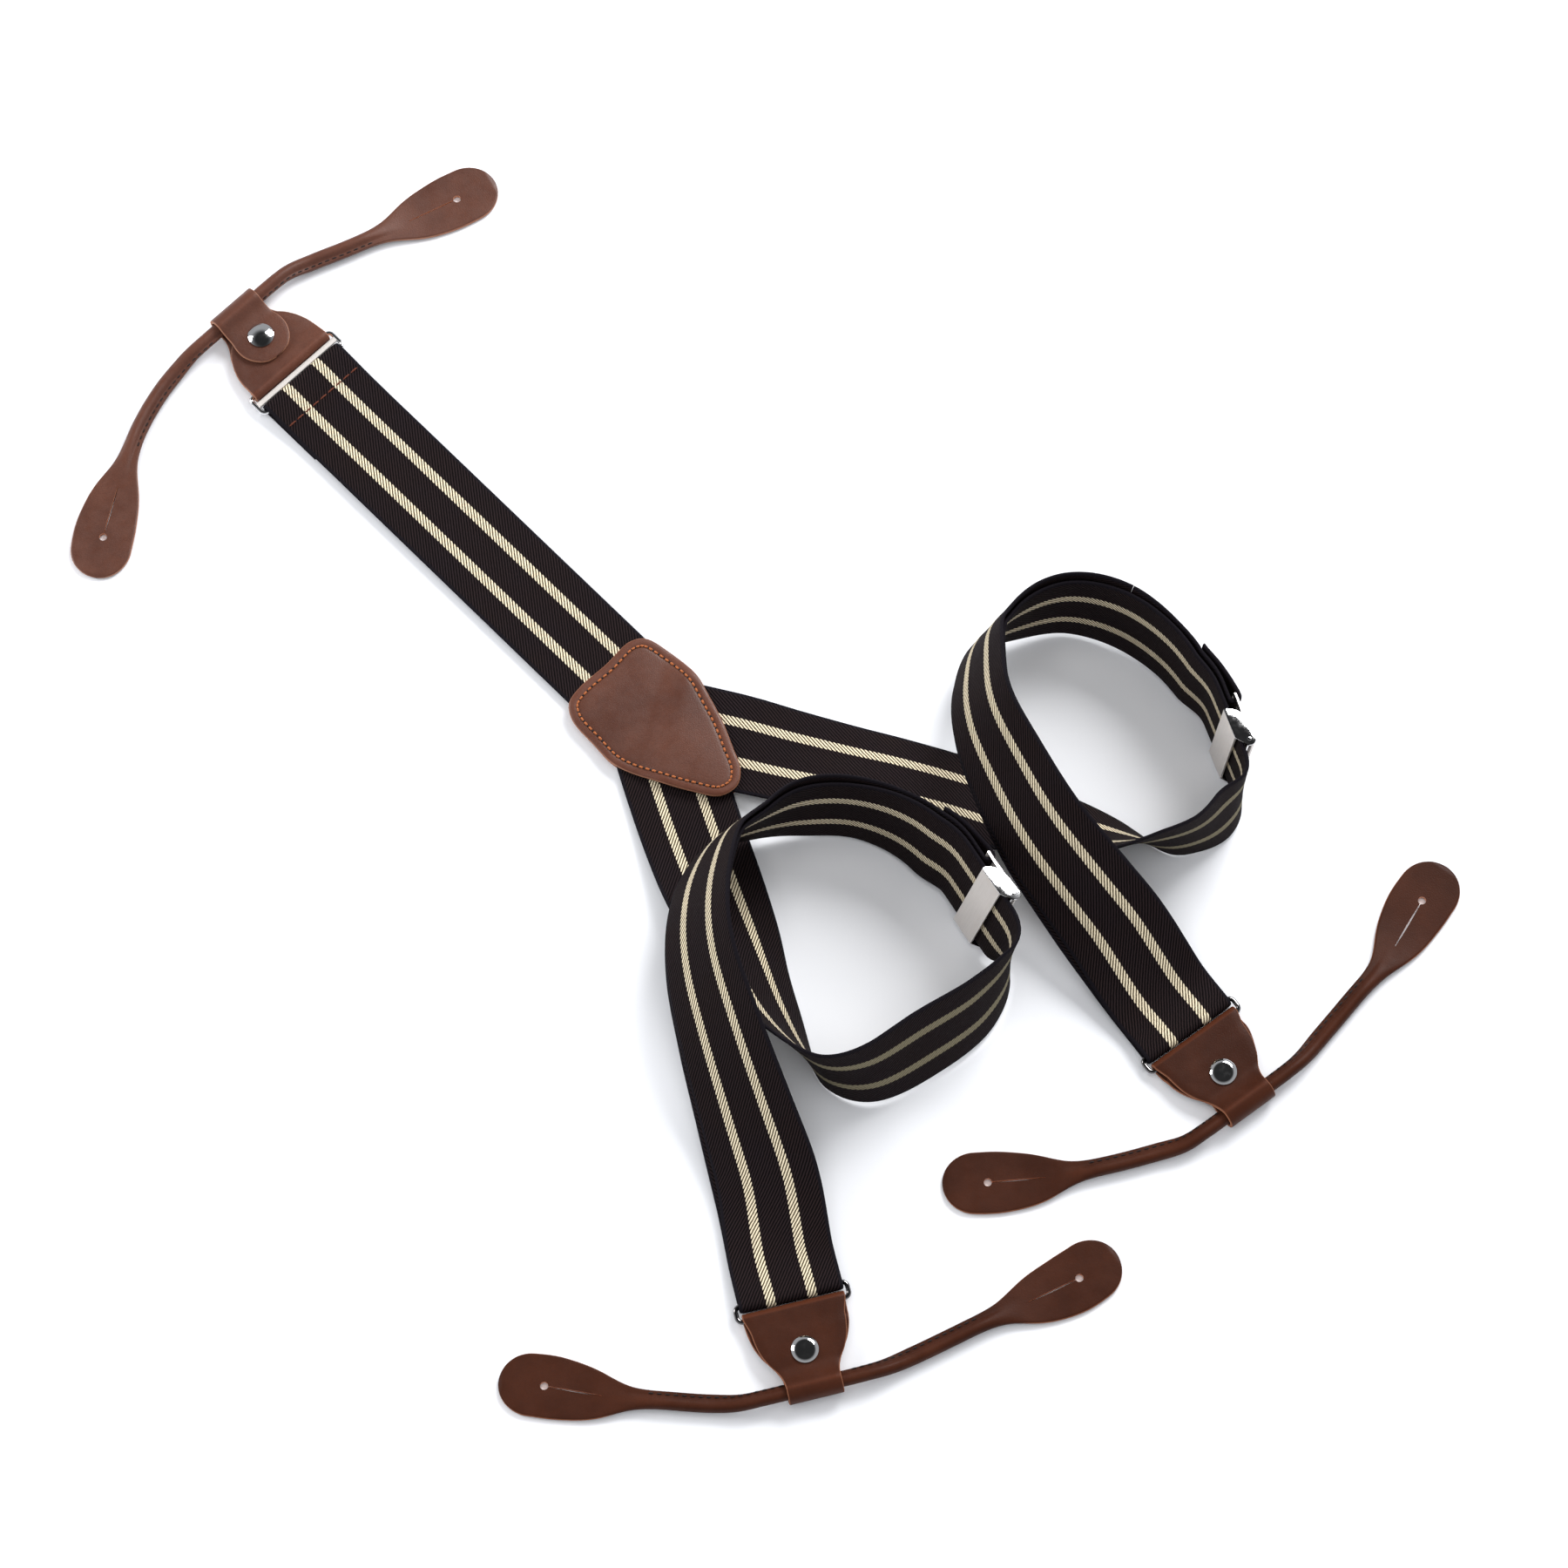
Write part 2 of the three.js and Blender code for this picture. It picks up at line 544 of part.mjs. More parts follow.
function saddlePath(bellOnTop) {
  const flip = bellOnTop ? 1 : -1;
  const middle = bellOnTop ? 0 : 2 * FLAP_Z;
  const z = (height) => middle + flip * height;
  const barZ = BAR_HEIGHT;
  const flap = [
    [21.6, z(FLAP_Z), 2], [21, z(FLAP_Z), 5.5], [19.4, z(FLAP_Z), 9], [16.6, z(FLAP_Z), 12.2],
    [13, z(FLAP_Z), 14.6], [9, z(FLAP_Z), 16.2], [6, z(FLAP_Z - 0.05), 16.8],
    [3.6, barZ - flip * 1, 17],
  ];
  const fold = Array.from({ length: 9 }, (_, i) => {
    const angle = radians(-90 + 22.5 * i) * flip;
    const r = 1.75;
    return [-r * Math.cos(angle), barZ + r * Math.sin(angle), SADDLE_HALF];
  });
  const bellZ = bellOnTop ? HIGH_Z : LOW_Z;
  const bell = BELL.map(([x, half], i) => [x, bellZ - (i === 0 ? flip * 0.25 : 0), half]);
  const start = bellOnTop ? [22.6, 6.1, 9.6] : [22.6, 1.5, 9.6];
  const tunnel = Array.from({ length: 9 }, (_, i) => {
    const angle = radians(100 - 25 * i) * flip;
    return [TUNNEL_X + TUNNEL_MID_RADIUS * Math.cos(angle),
      TUNNEL_Z + TUNNEL_MID_RADIUS * Math.sin(angle), NECK_HALF];
  });
  const tongueZ = bellOnTop ? LOW_Z : HIGH_Z;
  const leave = bellOnTop ? [22.6, 1.5, NECK_HALF] : [22.6, 6.1, NECK_HALF];
  const tongue = [
    leave, [19, tongueZ, NECK_HALF], [14, tongueZ, NECK_HALF], [10, tongueZ, 8.9],
    [8, tongueZ, 7.6], [6.8, tongueZ, 5.4], [6.2, tongueZ, 2],
  ];
  return [...flap, ...fold, ...bell, start, ...tunnel, ...tongue];
}

function saddleGeometry(bellOnTop) {
  const points = saddlePath(bellOnTop).map(([x, z, half]) => vec(x, half, z));
  const curve = new THREE.CatmullRomCurve3(points, false, "centripetal");
  const count = Math.round((points.length - 1) * 1.6);
  const stations = Array.from({ length: count + 1 }, (_, i) => {
    const s = curve.getPoint(i / count);
    const section = stripSection(LEATHER_THICK / 2, s.y);
    return { p: vec(s.x, 0, s.z), w: vec(0, 1, 0), section };
  });
  return cut(sweep(stations), upright(RIVET_HOLE_DIA, -2, 12, RIVET_X, 0));
}

const RIVET_BASE_Z = [0.1, 0.8];
const RIVET_CAP_Z = 5.9;
const RIVET_RISE = 1;

function rivetCap() {
  const rim = RIVET_CAP_DIA / 2;
  const post = RIVET_POST_DIA / 2;
  const profile = [
    [0, RIVET_BASE_Z[1] + 0.1], [post, RIVET_BASE_Z[1] + 0.1], [post, RIVET_CAP_Z],
    [rim - 0.2, RIVET_CAP_Z], [rim, RIVET_CAP_Z + 0.3], [rim - 0.6, RIVET_CAP_Z + 0.7],
    [rim / 2, RIVET_CAP_Z + 0.95], [0, RIVET_CAP_Z + RIVET_RISE],
  ];
  const points = profile.map(([r, z]) => new THREE.Vector2(r, z));
  return new THREE.LatheGeometry(points, 16).rotateX(Math.PI / 2).translate(RIVET_X, 0, 0);
}

// ---------------------------------------------------------------- button cords
const CORD_LIE_Z = CORD_DIA / 2 + 0.1;
const TAB_LIE_Z = 1;
// Half width and half thickness at a distance from the tab's tip.
const TAB_PROFILE = [
  [0, 2, 0.5], [1, 4.6, 0.7], [3, 7.4, 0.75], [6, 9.6, 0.75], [10, 10.5, 0.75], [20, 10.5, 0.75],
  [29, 9.2, 0.75], [37, 6.6, 0.9], [44, 4.4, 1.5], [52, 2.8, 2.4], [58, 2.6, 2.6],
];

function profileAt(distance) {
  const i = TAB_PROFILE.findIndex(([d]) => d > distance);
  if (i < 0) return [CORD_DIA / 2, CORD_DIA / 2];
  const [d0, w0, t0] = TAB_PROFILE[Math.max(i - 1, 0)];
  const [d1, w1, t1] = TAB_PROFILE[i];
  const blend = d1 > d0 ? (distance - d0) / (d1 - d0) : 0;
  return [w0 + (w1 - w0) * blend, t0 + (t1 - t0) * blend];
}

function cordGeometry(route) {
  const curve = new THREE.CatmullRomCurve3(route.map(([x, y]) => vec(x, y, 0)), false, "centripetal");
  const length = curve.getLength();
  const ends = [0, 1, 3, 6, 10, 15, 21, 27, 33, 39, 45, 51, 57];
  const inner = Array.from({ length: 11 }, (_, i) => 57 + ((i + 1) / 12) * (length - 114));
  const marks = [...ends, ...inner, ...ends.map((d) => length - d).reverse()];
  const stations = marks.map((mark) => {
    const t = mark / length;
    const p = curve.getPointAt(t);
    const tip = Math.min(mark, length - mark);
    const [half, thick] = profileAt(tip);
    const inTunnel = 1 - THREE.MathUtils.smoothstep(Math.abs(p.y), 17.5, 34);
    const flat = 1 - THREE.MathUtils.smoothstep(tip, 22, 56);
    p.z = CORD_LIE_Z + (TUNNEL_Z - CORD_LIE_Z) * inTunnel - (CORD_LIE_Z - TAB_LIE_Z) * flat;
    const w = curve.getTangentAt(t).cross(UP);
    return { p, w, section: ovalSection(thick, half, 10) };
  });
  const tools = [0, 1].flatMap((far) => {
    const place = (distance) => curve.getPointAt(far ? 1 - distance / length : distance / length);
    const hole = place(BUTTON_HOLE_FROM_TIP);
    const slitEnd = place(BUTTON_HOLE_FROM_TIP + SLIT_LENGTH);
    const slit = new THREE.BoxGeometry(SLIT_LENGTH, SLIT_WIDTH, 12);
    slit.rotateZ(Math.atan2(slitEnd.y - hole.y, slitEnd.x - hole.x));
    slit.translate((hole.x + slitEnd.x) / 2, (hole.y + slitEnd.y) / 2, 2);
    return [upright(BUTTON_HOLE_DIA, -4, 8, hole.x, hole.y, 16), slit];
  });
  return cut(sweep(stations), ...tools);
}

// ---------------------------------------------------------------- assembly
const suspenders = new THREE.Group();

function ringEnd(name, end, ringLength, middleBar, bellOnTop, cordRoute) {
  const group = new THREE.Group();
  group.position.set(end.x, end.y, 0);
  group.rotation.z = radians(end.heading);
  const saddleGroup = new THREE.Group();
  saddleGroup.position.x = ringLength;
  const base = upright(RIVET_CAP_DIA - 1, ...RIVET_BASE_Z, RIVET_X, 0);
  saddleGroup.add(
    mesh(`${name}_saddle`, saddleGeometry(bellOnTop), leather),
    mesh(`${name}_rivet_cap`, rivetCap(), chrome),
    mesh(`${name}_rivet_base`, base, chrome),
  );
  group.add(
    mesh(`${name}_ring`, ringGeometry(ringLength, middleBar), chrome),
    mesh(`${name}_button_cord`, cordGeometry(cordRoute), leather),
    saddleGroup,
  );
  return group;
}

function strapSide(side, stations, end, adjusterAt) {
  const route = strapRoute(stations, end, adjusterAt);
  suspenders.add(
    mesh(`${side}_shoulder_strap`, shoulderStrap(route, end), webbing),
    mesh(`${side}_strap_tail`, tailGeometry(route), webbing),
    adjuster(side, route),
  );
}

suspenders.add(
  mesh("back_strap", backStrap(REAR), webbing),
  backSeam(REAR),
  mesh("yoke_bottom_leather", yokePlate(YOKE_BOTTOM_Z, YOKE_BOTTOM_THICK, 0.6, 0), leather),
  mesh("yoke_top_leather", yokePlate(YOKE_TOP_Z, YOKE_TOP_THICK, 0, YOKE_BEVEL), leather),
  mesh("yoke_stitching", yokeStitching(), orangeThread),
);
strapSide("right", RIGHT_ROUTE, RIGHT_FRONT, RIGHT_ADJUSTER_AT);
strapSide("left", LEFT_ROUTE, LEFT_FRONT, LEFT_ADJUSTER_AT);
suspenders.add(
  ringEnd("rear", REAR, REAR_RING_LENGTH, REAR_MIDDLE_BAR, false, REAR_CORD),
  ringEnd("right_front", RIGHT_FRONT, FRONT_RING_LENGTH, 0, true, RIGHT_FRONT_CORD),
  ringEnd("left_front", LEFT_FRONT, FRONT_RING_LENGTH, 0, true, LEFT_FRONT_CORD),
);

export default suspenders;
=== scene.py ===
"""Looks for a pair of Y-back button suspenders laid out on a table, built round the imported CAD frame.

Sizes are in millimetres and become metres where a mesh is made. The strap, cord and yoke routes repeat
the CAD's, so every piece lies where its solid does.
"""

import math

import bmesh
import bpy
import numpy as np
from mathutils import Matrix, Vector


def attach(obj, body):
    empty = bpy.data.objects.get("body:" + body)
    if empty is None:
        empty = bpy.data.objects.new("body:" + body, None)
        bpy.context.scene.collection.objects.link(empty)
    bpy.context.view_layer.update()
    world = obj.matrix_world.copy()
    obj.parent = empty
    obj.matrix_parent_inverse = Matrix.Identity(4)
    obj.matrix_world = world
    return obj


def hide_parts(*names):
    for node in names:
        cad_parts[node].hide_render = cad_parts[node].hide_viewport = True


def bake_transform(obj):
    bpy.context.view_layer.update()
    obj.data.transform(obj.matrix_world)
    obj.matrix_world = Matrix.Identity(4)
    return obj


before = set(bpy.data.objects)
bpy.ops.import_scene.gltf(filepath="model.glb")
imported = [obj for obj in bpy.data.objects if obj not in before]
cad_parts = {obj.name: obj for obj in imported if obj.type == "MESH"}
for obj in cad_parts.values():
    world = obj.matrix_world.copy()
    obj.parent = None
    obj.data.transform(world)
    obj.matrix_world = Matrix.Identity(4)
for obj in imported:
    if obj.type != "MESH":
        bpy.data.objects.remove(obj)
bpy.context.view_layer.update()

MM = 0.001
UP = np.array([0.0, 0.0, 1.0])


def add_object(name, data):
    obj = bpy.data.objects.new(name, data)
    bpy.context.collection.objects.link(obj)
    return obj


# ---------------- camera
LOOK_AT = (0.04387, -0.0246, 0)
CAMERA_AT = (0.04387, -0.62998, 1.66326)

camera_data = bpy.data.cameras.new("camera")
camera_data.lens = 120
camera_data.sensor_width = 36
camera_data.clip_start = 0.05
camera = add_object("camera", camera_data)
camera.location = CAMERA_AT
camera.rotation_euler = (Vector(LOOK_AT) - Vector(CAMERA_AT)).to_track_quat("-Z", "Y").to_euler()
bpy.context.scene.camera = camera

# ---------------- driving dimensions
WEB_THICK = 1.5
WEB_HALF = 17.5
STRIPE_CENTRE = 6.9
STRIPE_HALF = 1.6
RIB_PITCH = 1.55  # along the strap
RIB_SLANT = 1.34  # how far a rib moves along the strap for each millimetre across it
LEATHER_THICK = 1.3
WIRE_DIA = 1.6
GAP = 0.3

BAR_HEIGHT = 2.8
RING_HALF_WIDTH = 18.8
RING_CORNER = 1.8
WIRE_SIDES = 16
FRONT_RING_LENGTH = 5.4
REAR_RING_LENGTH = 7.6
REAR_MIDDLE_BAR = 3.9
RIVET_X = 14.3
RIVET_CAP_DIA = 9
RIVET_POST_DIA = 3
RIVET_CAP_Z = 5.9
DOME_RISE = 1.25
RIVET_BASE_Z = (0.1, 0.8)

TUNNEL_X = 26.5
TUNNEL_Z = 4.6
TUNNEL_MID_RADIUS = 3.65
CORD_LIE_Z = 2.7
TAB_LIE_Z = 1.0
TAB_HALF = 10.5
BUTTON_HOLE_DIA = 2.7
BUTTON_HOLE_FROM_TIP = 15
SLIT_LENGTH = 19
SLIT_WIDTH = 0.6
CUT_Z = (-4, 8)

# Length and thickness of each kind of stitch, and of the dark pieces that paint the shade in the holes
# between the yoke's stitches.
TACK_STITCH = (2.4, 0.5)
REAR_STITCH = (3.0, 0.6)
YOKE_STITCH = (1.75, 0.74)
HOLE_SHADE_SIZE = (0.95, 0.62)
CORD_STITCH = (1.8, 0.5)

FOLD_RADIUS = WIRE_DIA / 2 + GAP + WEB_THICK / 2
LAYER_PITCH = 1.95
YOKE_LEVEL_1 = 2.35
RETURN_SHIFT = 2.5
TAIL_START = 32
SEAM_FROM_BAR = 10
STRAP_SPLIT = 60  # from the adjuster, where the strap is cut into two pieces
STRAP_SAMPLES = 12  # in each span of the route
END_SAMPLES = 14
FOLD_CLOSES = (0, 18)  # from the ring's bar
SHIFT_STARTS = (12, 45)
TAIL_ROOM = 0.4  # extra room over the sewn end, at these distances from the adjuster
TAIL_ROOM_STARTS = (14, 24)
TAIL_ROOM_ENDS = (30, 42)
TAIL_LEVEL_X = 20
END_BAR_X = 10.5
END_BAR_Z = -3.8
TAIL_LAST_Z = -4.5
TAIL_LAST_LENGTH = 29

# The slide adjuster, in its own frame: x towards the ring, y across the strap, z away from its front face.
CHEEK_Y = (17.7, 18.2)
EAR_Y = (18.4, 19)
HINGE_X = -6
HINGE_Z = -2.4
HINGE_DIA = 1.4
COVER_X = (-4, 6.5)
COVER_Z = (1.2, 2)
COVER_CROWN = 0.12
BACK_X = (-7, 7.4)
BACK_Z = (-4.4, -3.6)
END_BAR_DIA = 1.4
PIN_OUT = 0.4
SUNK = 0.1  # how far one plate runs into its neighbour
BRUSH_STRETCH = np.array([6.0, 0.12, 6.0])  # satin lines along y

# The middle of each webbing bar and the direction away from the webbing.
RIGHT_FRONT = (45.9, -202.9, -76)
LEFT_FRONT = (177.5, -112.2, -53.5)
REAR = (-123, 124, 134.5)

# Shoulder straps: x, y, z of the middle and the roll in degrees.
RIGHT_ROUTE = [
    [2, -8, YOKE_LEVEL_1, 0], [7.5, -26, YOKE_LEVEL_1, 0], [13, -43, 2.7, 3], [19, -60, 4, 9],
    [25, -76, 7.2, 22], [31.5, -92, 12.2, 41], [39, -109, 15.2, 54], [48, -123, 17.6, 73],
    [58.5, -132, 18, 91], [73, -132, 18.5, 107], [90.5, -122, 18.5, 113], [108.5, -109, 18.4, 107],
    [118, -93.5, 19, 91], [111.5, -78, 19.8, 76], [100, -62, 19.8, 70], [85.5, -48, 18.7, 74],
    [68.5, -41, 18.2, 79], [51, -41, 19, 82], [36.5, -45.5, 20.5, 95], [24.5, -53.5, 24.5, 108],
    [18, -67, 28.5, 120], [15.5, -83, 30, 127], [17, -100, 28, 132], [22.5, -120.5, 23.5, 139],
    [30, -144, 14.5, 149], [38.5, -171.5, 6, 165], [43.5, -193.1, 1.75, 178],
]
LEFT_ROUTE = [
    [9, -6.5, 4.15, 0], [28, -11.2, 4.1, 0], [45.5, -16, 4.3, 6], [63.5, -20.5, 5, 13],
    [82, -25.2, 6.4, 18], [101, -31, 7.2, 20], [120, -38, 8, 22], [138.5, -45, 10.4, 33],
    [156, -50, 15.4, 57], [171, -51.5, 18, 83], [182.5, -48.5, 18.6, 93], [191, -42, 19, 101],
    [195.5, -33, 19.2, 96], [193.3, -19, 19.8, 87], [185, -1.5, 19.7, 84], [173.5, 16, 18.8, 81],
    [158, 28, 18.4, 79], [140.5, 32.5, 18.5, 82], [124.5, 28, 20, 90], [113, 19, 23, 105],
    [109.5, 4.5, 28, 116], [110.5, -12, 31, 123], [117.5, -30.5, 31, 131], [128.5, -52, 29, 139],
    [143.5, -71.5, 21, 149], [160.5, -91, 9, 164], [171.5, -104.1, 1.75, 178],
]
RIGHT_ADJUSTER_AT = 13.17
LEFT_ADJUSTER_AT = 13.05
STRAIGHT_RANGE = (-9, 15)
STRAIGHT_FADE = 14

# Button cords, in each ring's own frame.
RIGHT_FRONT_CORD = [
    [5, -99], [10, -85], [18.5, -66], [26, -45], [29.8, -33], [31.6, -25], [31.9, -17], [31.9, 0],
    [31.9, 17], [31.5, 25], [30, 34], [26.8, 49], [22.5, 68], [18, 91], [11.5, 107],
]
LEFT_FRONT_CORD = [
    [-6, -97], [2.5, -85], [12.5, -69], [22, -50], [28.3, -34], [31.4, -25], [31.9, -17], [31.9, 0],
    [31.9, 17], [31.3, 25], [29.3, 34], [25.5, 50], [21, 68], [12, 90], [7, 106],
]
REAR_CORD = [
    [10, -100.5], [14.5, -84.5], [20, -66], [27, -45], [31.5, -33], [33.7, -25], [34.1, -17], [34.1, 0],
    [34.1, 17], [34, 25], [32.6, 36], [27, 53], [17.5, 70], [6, 88.5], [-4, 101],
]

YOKE_OUTLINE = [
    [-9, 25.4], [-3.5, 26.7], [4.7, 21.8], [13.9, 13.2], [18.5, 5], [23, -4], [26.5, -13.3],
    [29.2, -21.5], [28, -27.5], [22.5, -30.9], [13, -29.3], [-1.7, -24.6], [-13.8, -19],
    [-21.3, -11.1], [-28, -3], [-29.2, 3], [-25.7, 8.8], [-17, 17],
]


# ---------------- curves
def unit(v):
    return v / np.linalg.norm(v, axis=-1, keepdims=True)


def whole_turn(count):
    """Angles of that many even steps round a circle."""
    return np.arange(count) / count * 2 * math.pi


def round_section(count):
    """Points of a circle of radius 1."""
    angle = whole_turn(count)
    return np.stack([np.cos(angle), np.sin(angle)], 1)


def level(directions):
    """Flat directions with a height of nothing."""
    return np.column_stack([directions, np.zeros(len(directions))])


def sideways(directions):
    """Flat directions turned a quarter to the right."""
    return np.stack([directions[:, 1], -directions[:, 0]], 1)


def smooth(x, low, high):
    t = np.clip((np.asarray(x, float) - low) / (high - low), 0, 1)
    return t * t * (3 - 2 * t)


def distances(points):
    """How far along a line each of its points lies."""
    return np.concatenate([[0], np.cumsum(np.linalg.norm(np.diff(points, axis=0), axis=1))])


def onward(line):
    """Where a closed line heads at each of its points."""
    return np.roll(line, -1, 0) - np.roll(line, 1, 0)


def spline(points, at, centripetal=False, closed=False):
    """Points of a Catmull-Rom curve, at places counted in its points."""
    pts = np.asarray(points, float)
    if closed:
        padded = np.vstack([pts[-1:], pts, pts[:2]])
        last = len(pts) - 1
    else:
        padded = np.vstack([2 * pts[0] - pts[1], pts, 2 * pts[-1] - pts[-2]])
        last = len(pts) - 2
    at = np.atleast_1d(np.asarray(at, float))
    i = np.clip(np.floor(at).astype(int), 0, last)
    t = (at - i)[:, None]
    p0, p1, p2, p3 = (padded[i + k] for k in range(4))
    m1, m2 = (p2 - p0) / 2, (p3 - p1) / 2
    if centripetal:
        pairs = ((p0, p1), (p1, p2), (p2, p3))
        d0, d1, d2 = (np.linalg.norm(b - a, axis=1, keepdims=True) ** 0.5 for a, b in pairs)
        m1 = ((p1 - p0) / d0 - (p2 - p0) / (d0 + d1) + (p2 - p1) / d1) * d1
        m2 = ((p2 - p1) / d1 - (p3 - p1) / (d1 + d2) + (p3 - p2) / d2) * d1
    cubic = 2 * p1 - 2 * p2 + m1 + m2
    square = -3 * p1 + 3 * p2 - 2 * m1 - m2
    return ((cubic * t + square) * t + m1) * t + p1


class Path:
    """A centripetal curve measured in distance along it."""

    def __init__(self, points, closed=False):
        self.points, self.closed = points, closed
        spans = len(points) - (0 if closed else 1)
        self.at = np.linspace(0, spans, spans * 40 + 1)
        self.far = distances(spline(points, self.at, True, closed))
        self.length = self.far[-1]

    def point(self, distance):
        distance = np.asarray(distance, float)
        if self.closed:
            distance = distance % self.length
        return spline(self.points, np.interp(distance, self.far, self.at), True, self.closed)

    def forward(self, distance):
        distance = np.asarray(distance, float)
        return unit(self.point(distance + 0.1) - self.point(distance - 0.1))


class StrapRoute:
    """A shoulder strap's middle and directions, at places counted in its stations."""

    def __init__(self, stations, end, adjuster_at):
        self.end = end
        bar = [end[0], end[1], BAR_HEIGHT - FOLD_RADIUS, 180]
        self.stations = np.array([*stations, bar], float)
        self.spans = len(self.stations) - 1
        self.adjuster_at = adjuster_at
        self.centre = spline(self.stations, adjuster_at)[0]
        step = 0.003
        ends = spline(self.stations, [adjuster_at - step, adjuster_at + step])[:, :3]
        self.along = unit((ends[1] - ends[0]) * [1, 1, 0])
        self.grid = np.linspace(0, self.spans, self.spans * 50 + 1)
        far = distances(self.place(self.grid)[:, :3])
        self.far = far - np.interp(adjuster_at, self.grid, far)

    def place(self, at):
        at = np.atleast_1d(np.asarray(at, float))
        raw = spline(self.stations, at)
        distance = (raw[:, :3] - self.centre[:3]) @ self.along
        outside = np.maximum(STRAIGHT_RANGE[0] - distance, distance - STRAIGHT_RANGE[1])
        keep = (np.abs(at - self.adjuster_at) < 3) * (1 - smooth(outside, 0, STRAIGHT_FADE))
        straight = self.centre + np.outer(distance, [*self.along, 0])
        return raw + (straight - raw) * keep[:, None]

    def frame(self, at):
        """Middle, forward, width and normal directions."""
        at = np.atleast_1d(np.asarray(at, float))
        here = self.place(at)
        ahead = self.place(np.minimum(at + 0.02, self.spans))
        behind = self.place(np.maximum(at - 0.02, 0))
        forward = unit((ahead - behind)[:, :3])
        right = unit(np.cross(forward, UP))
        up = np.cross(right, forward)
        roll = np.radians(here[:, 3:])
        w = right * np.cos(roll) + up * np.sin(roll)
        return here[:, :3], forward, w, np.cross(w, forward)

    def frame_at(self, at):
        """The same for one place."""
        return [v[0] for v in self.frame(at)]

    def at_distance(self, distance):
        """The place at a distance from the adjuster, positive towards the ring."""
        return np.interp(distance, self.far, self.grid)


# ---------------- meshes
def mesh_of(name, verts, faces, sharp):
    """A smooth mesh from points in millimetres, with edges sharper than that many degrees kept."""
    mesh = bpy.data.meshes.new(name)
    mesh.from_pydata((np.asarray(verts) * MM).tolist(), [], faces)
    bm = bmesh.new()
    bm.from_mesh(mesh)
    bmesh.ops.recalc_face_normals(bm, faces=bm.faces)
    bm.to_mesh(mesh)
    bm.free()
    mesh.shade_smooth()
    mesh.set_sharp_from_angle(angle=math.radians(sharp))
    mesh.update()
    return mesh


def tag(mesh, name, values):
    """Keeps a number or a vector for each point, for the materials to read."""
    values = np.asarray(values, np.float32)
    kind, key = ("FLOAT_VECTOR", "vector") if values.ndim == 2 else ("FLOAT", "value")
    attribute = mesh.attributes.new(name, kind, "POINT")
    attribute.data.foreach_set(key, values.ravel())


def loft_faces(stations, count, endless=False):
    """Quads between rings of count points, and a cap on each open end."""
    faces = []
    for i in range(stations if endless else stations - 1):
        near, far = i * count, (i + 1) % stations * count
        for j in range(count):
            k = (j + 1) % count
            faces.append((near + j, near + k, far + k, far + j))
    if not endless:
        end = (stations - 1) * count
        faces += [tuple(range(count))[::-1], tuple(range(end, end + count))]
    return faces


def swept(p, w, section, endless=False):
    """Points of a sweep along p: section holds offsets along the normal and along w."""
    p, w = np.asarray(p, float), np.asarray(w, float)
    forward = onward(p) if endless else np.gradient(p, axis=0)
    normal = unit(np.cross(w, unit(forward)))
    across = np.cross(unit(forward), normal)
    section = np.broadcast_to(section, (len(p), *np.shape(section)[-2:]))
    return p[:, None] + normal[:, None] * section[..., :1] + across[:, None] * section[..., 1:]


def loft_mesh(name, rings, sharp=40, endless=False):
    """A mesh through rings of points, each of them as long as the others."""
    rings = np.asarray(rings)
    return mesh_of(name, rings.reshape(-1, 3), loft_faces(*rings.shape[:2], endless), sharp)


def piece(mesh, look, body=None, stands_for=(), name=None):
    """An object of the frame. A mesh that already wears its looks comes with None for look."""
    obj = add_object(name or mesh.name, mesh)
    if look:
        mesh.materials.append(look)
    if stands_for:
        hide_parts(*stands_for)
    if body:
        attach(obj, body)
    return obj


def carved(mesh, tools, look, cut_look, sharp):
    """The mesh with tool meshes cut out of it. The walls of the cuts wear cut_look."""
    obj = add_object("carving", mesh)
    mesh.materials.append(look)
    cutters = [add_object("cutter", tool) for tool in tools]
    for cutter in cutters:
        cutter.data.materials.append(cut_look)
        modifier = obj.modifiers.new("cut", "BOOLEAN")
        modifier.solver = "EXACT"
        modifier.material_mode = "TRANSFER"
        modifier.object = cutter
    graph = bpy.context.evaluated_depsgraph_get()
    result = bpy.data.meshes.new_from_object(obj.evaluated_get(graph))
    result.name = mesh.name + "_cut"
    for o in [obj, *cutters]:
        bpy.data.objects.remove(o)
    result.set_sharp_from_angle(angle=math.radians(sharp))
    return result


# ---------------- materials
class Nodes:
    """Short ways to add nodes to the tree of a material or of the world."""

    def __init__(self, owner):
        owner.use_nodes = True
        self.tree = owner.node_tree

    def give(self, socket, value):
        if isinstance(value, bpy.types.NodeSocket):
            self.tree.links.new(value, socket)
        else:
            socket.default_value = value

    def add(self, kind, inputs=(), **settings):
        node = self.tree.nodes.new(kind)
        for key, value in settings.items():
            setattr(node, key, value)
        for key, value in dict(inputs).items():
            self.give(node.inputs[key], value)
        return node

    def math(self, operation, a, b=0.0, c=0.0):
        return self.add("ShaderNodeMath", {0: a, 1: b, 2: c}, operation=operation).outputs[0]

    def plus(self, a, b):
        return self.math("ADD", a, b)

    def minus(self, a, b):
        return self.math("SUBTRACT", a, b)

    def times(self, a, b):
        return self.math("MULTIPLY", a, b)

    def ramp(self, value, low, high, to_low=0.0, to_high=1.0):
        inputs = {"Value": value, "From Min": low, "From Max": high, "To Min": to_low, "To Max": to_high}
        return self.add("ShaderNodeMapRange", inputs, interpolation_type="SMOOTHSTEP").outputs[0]


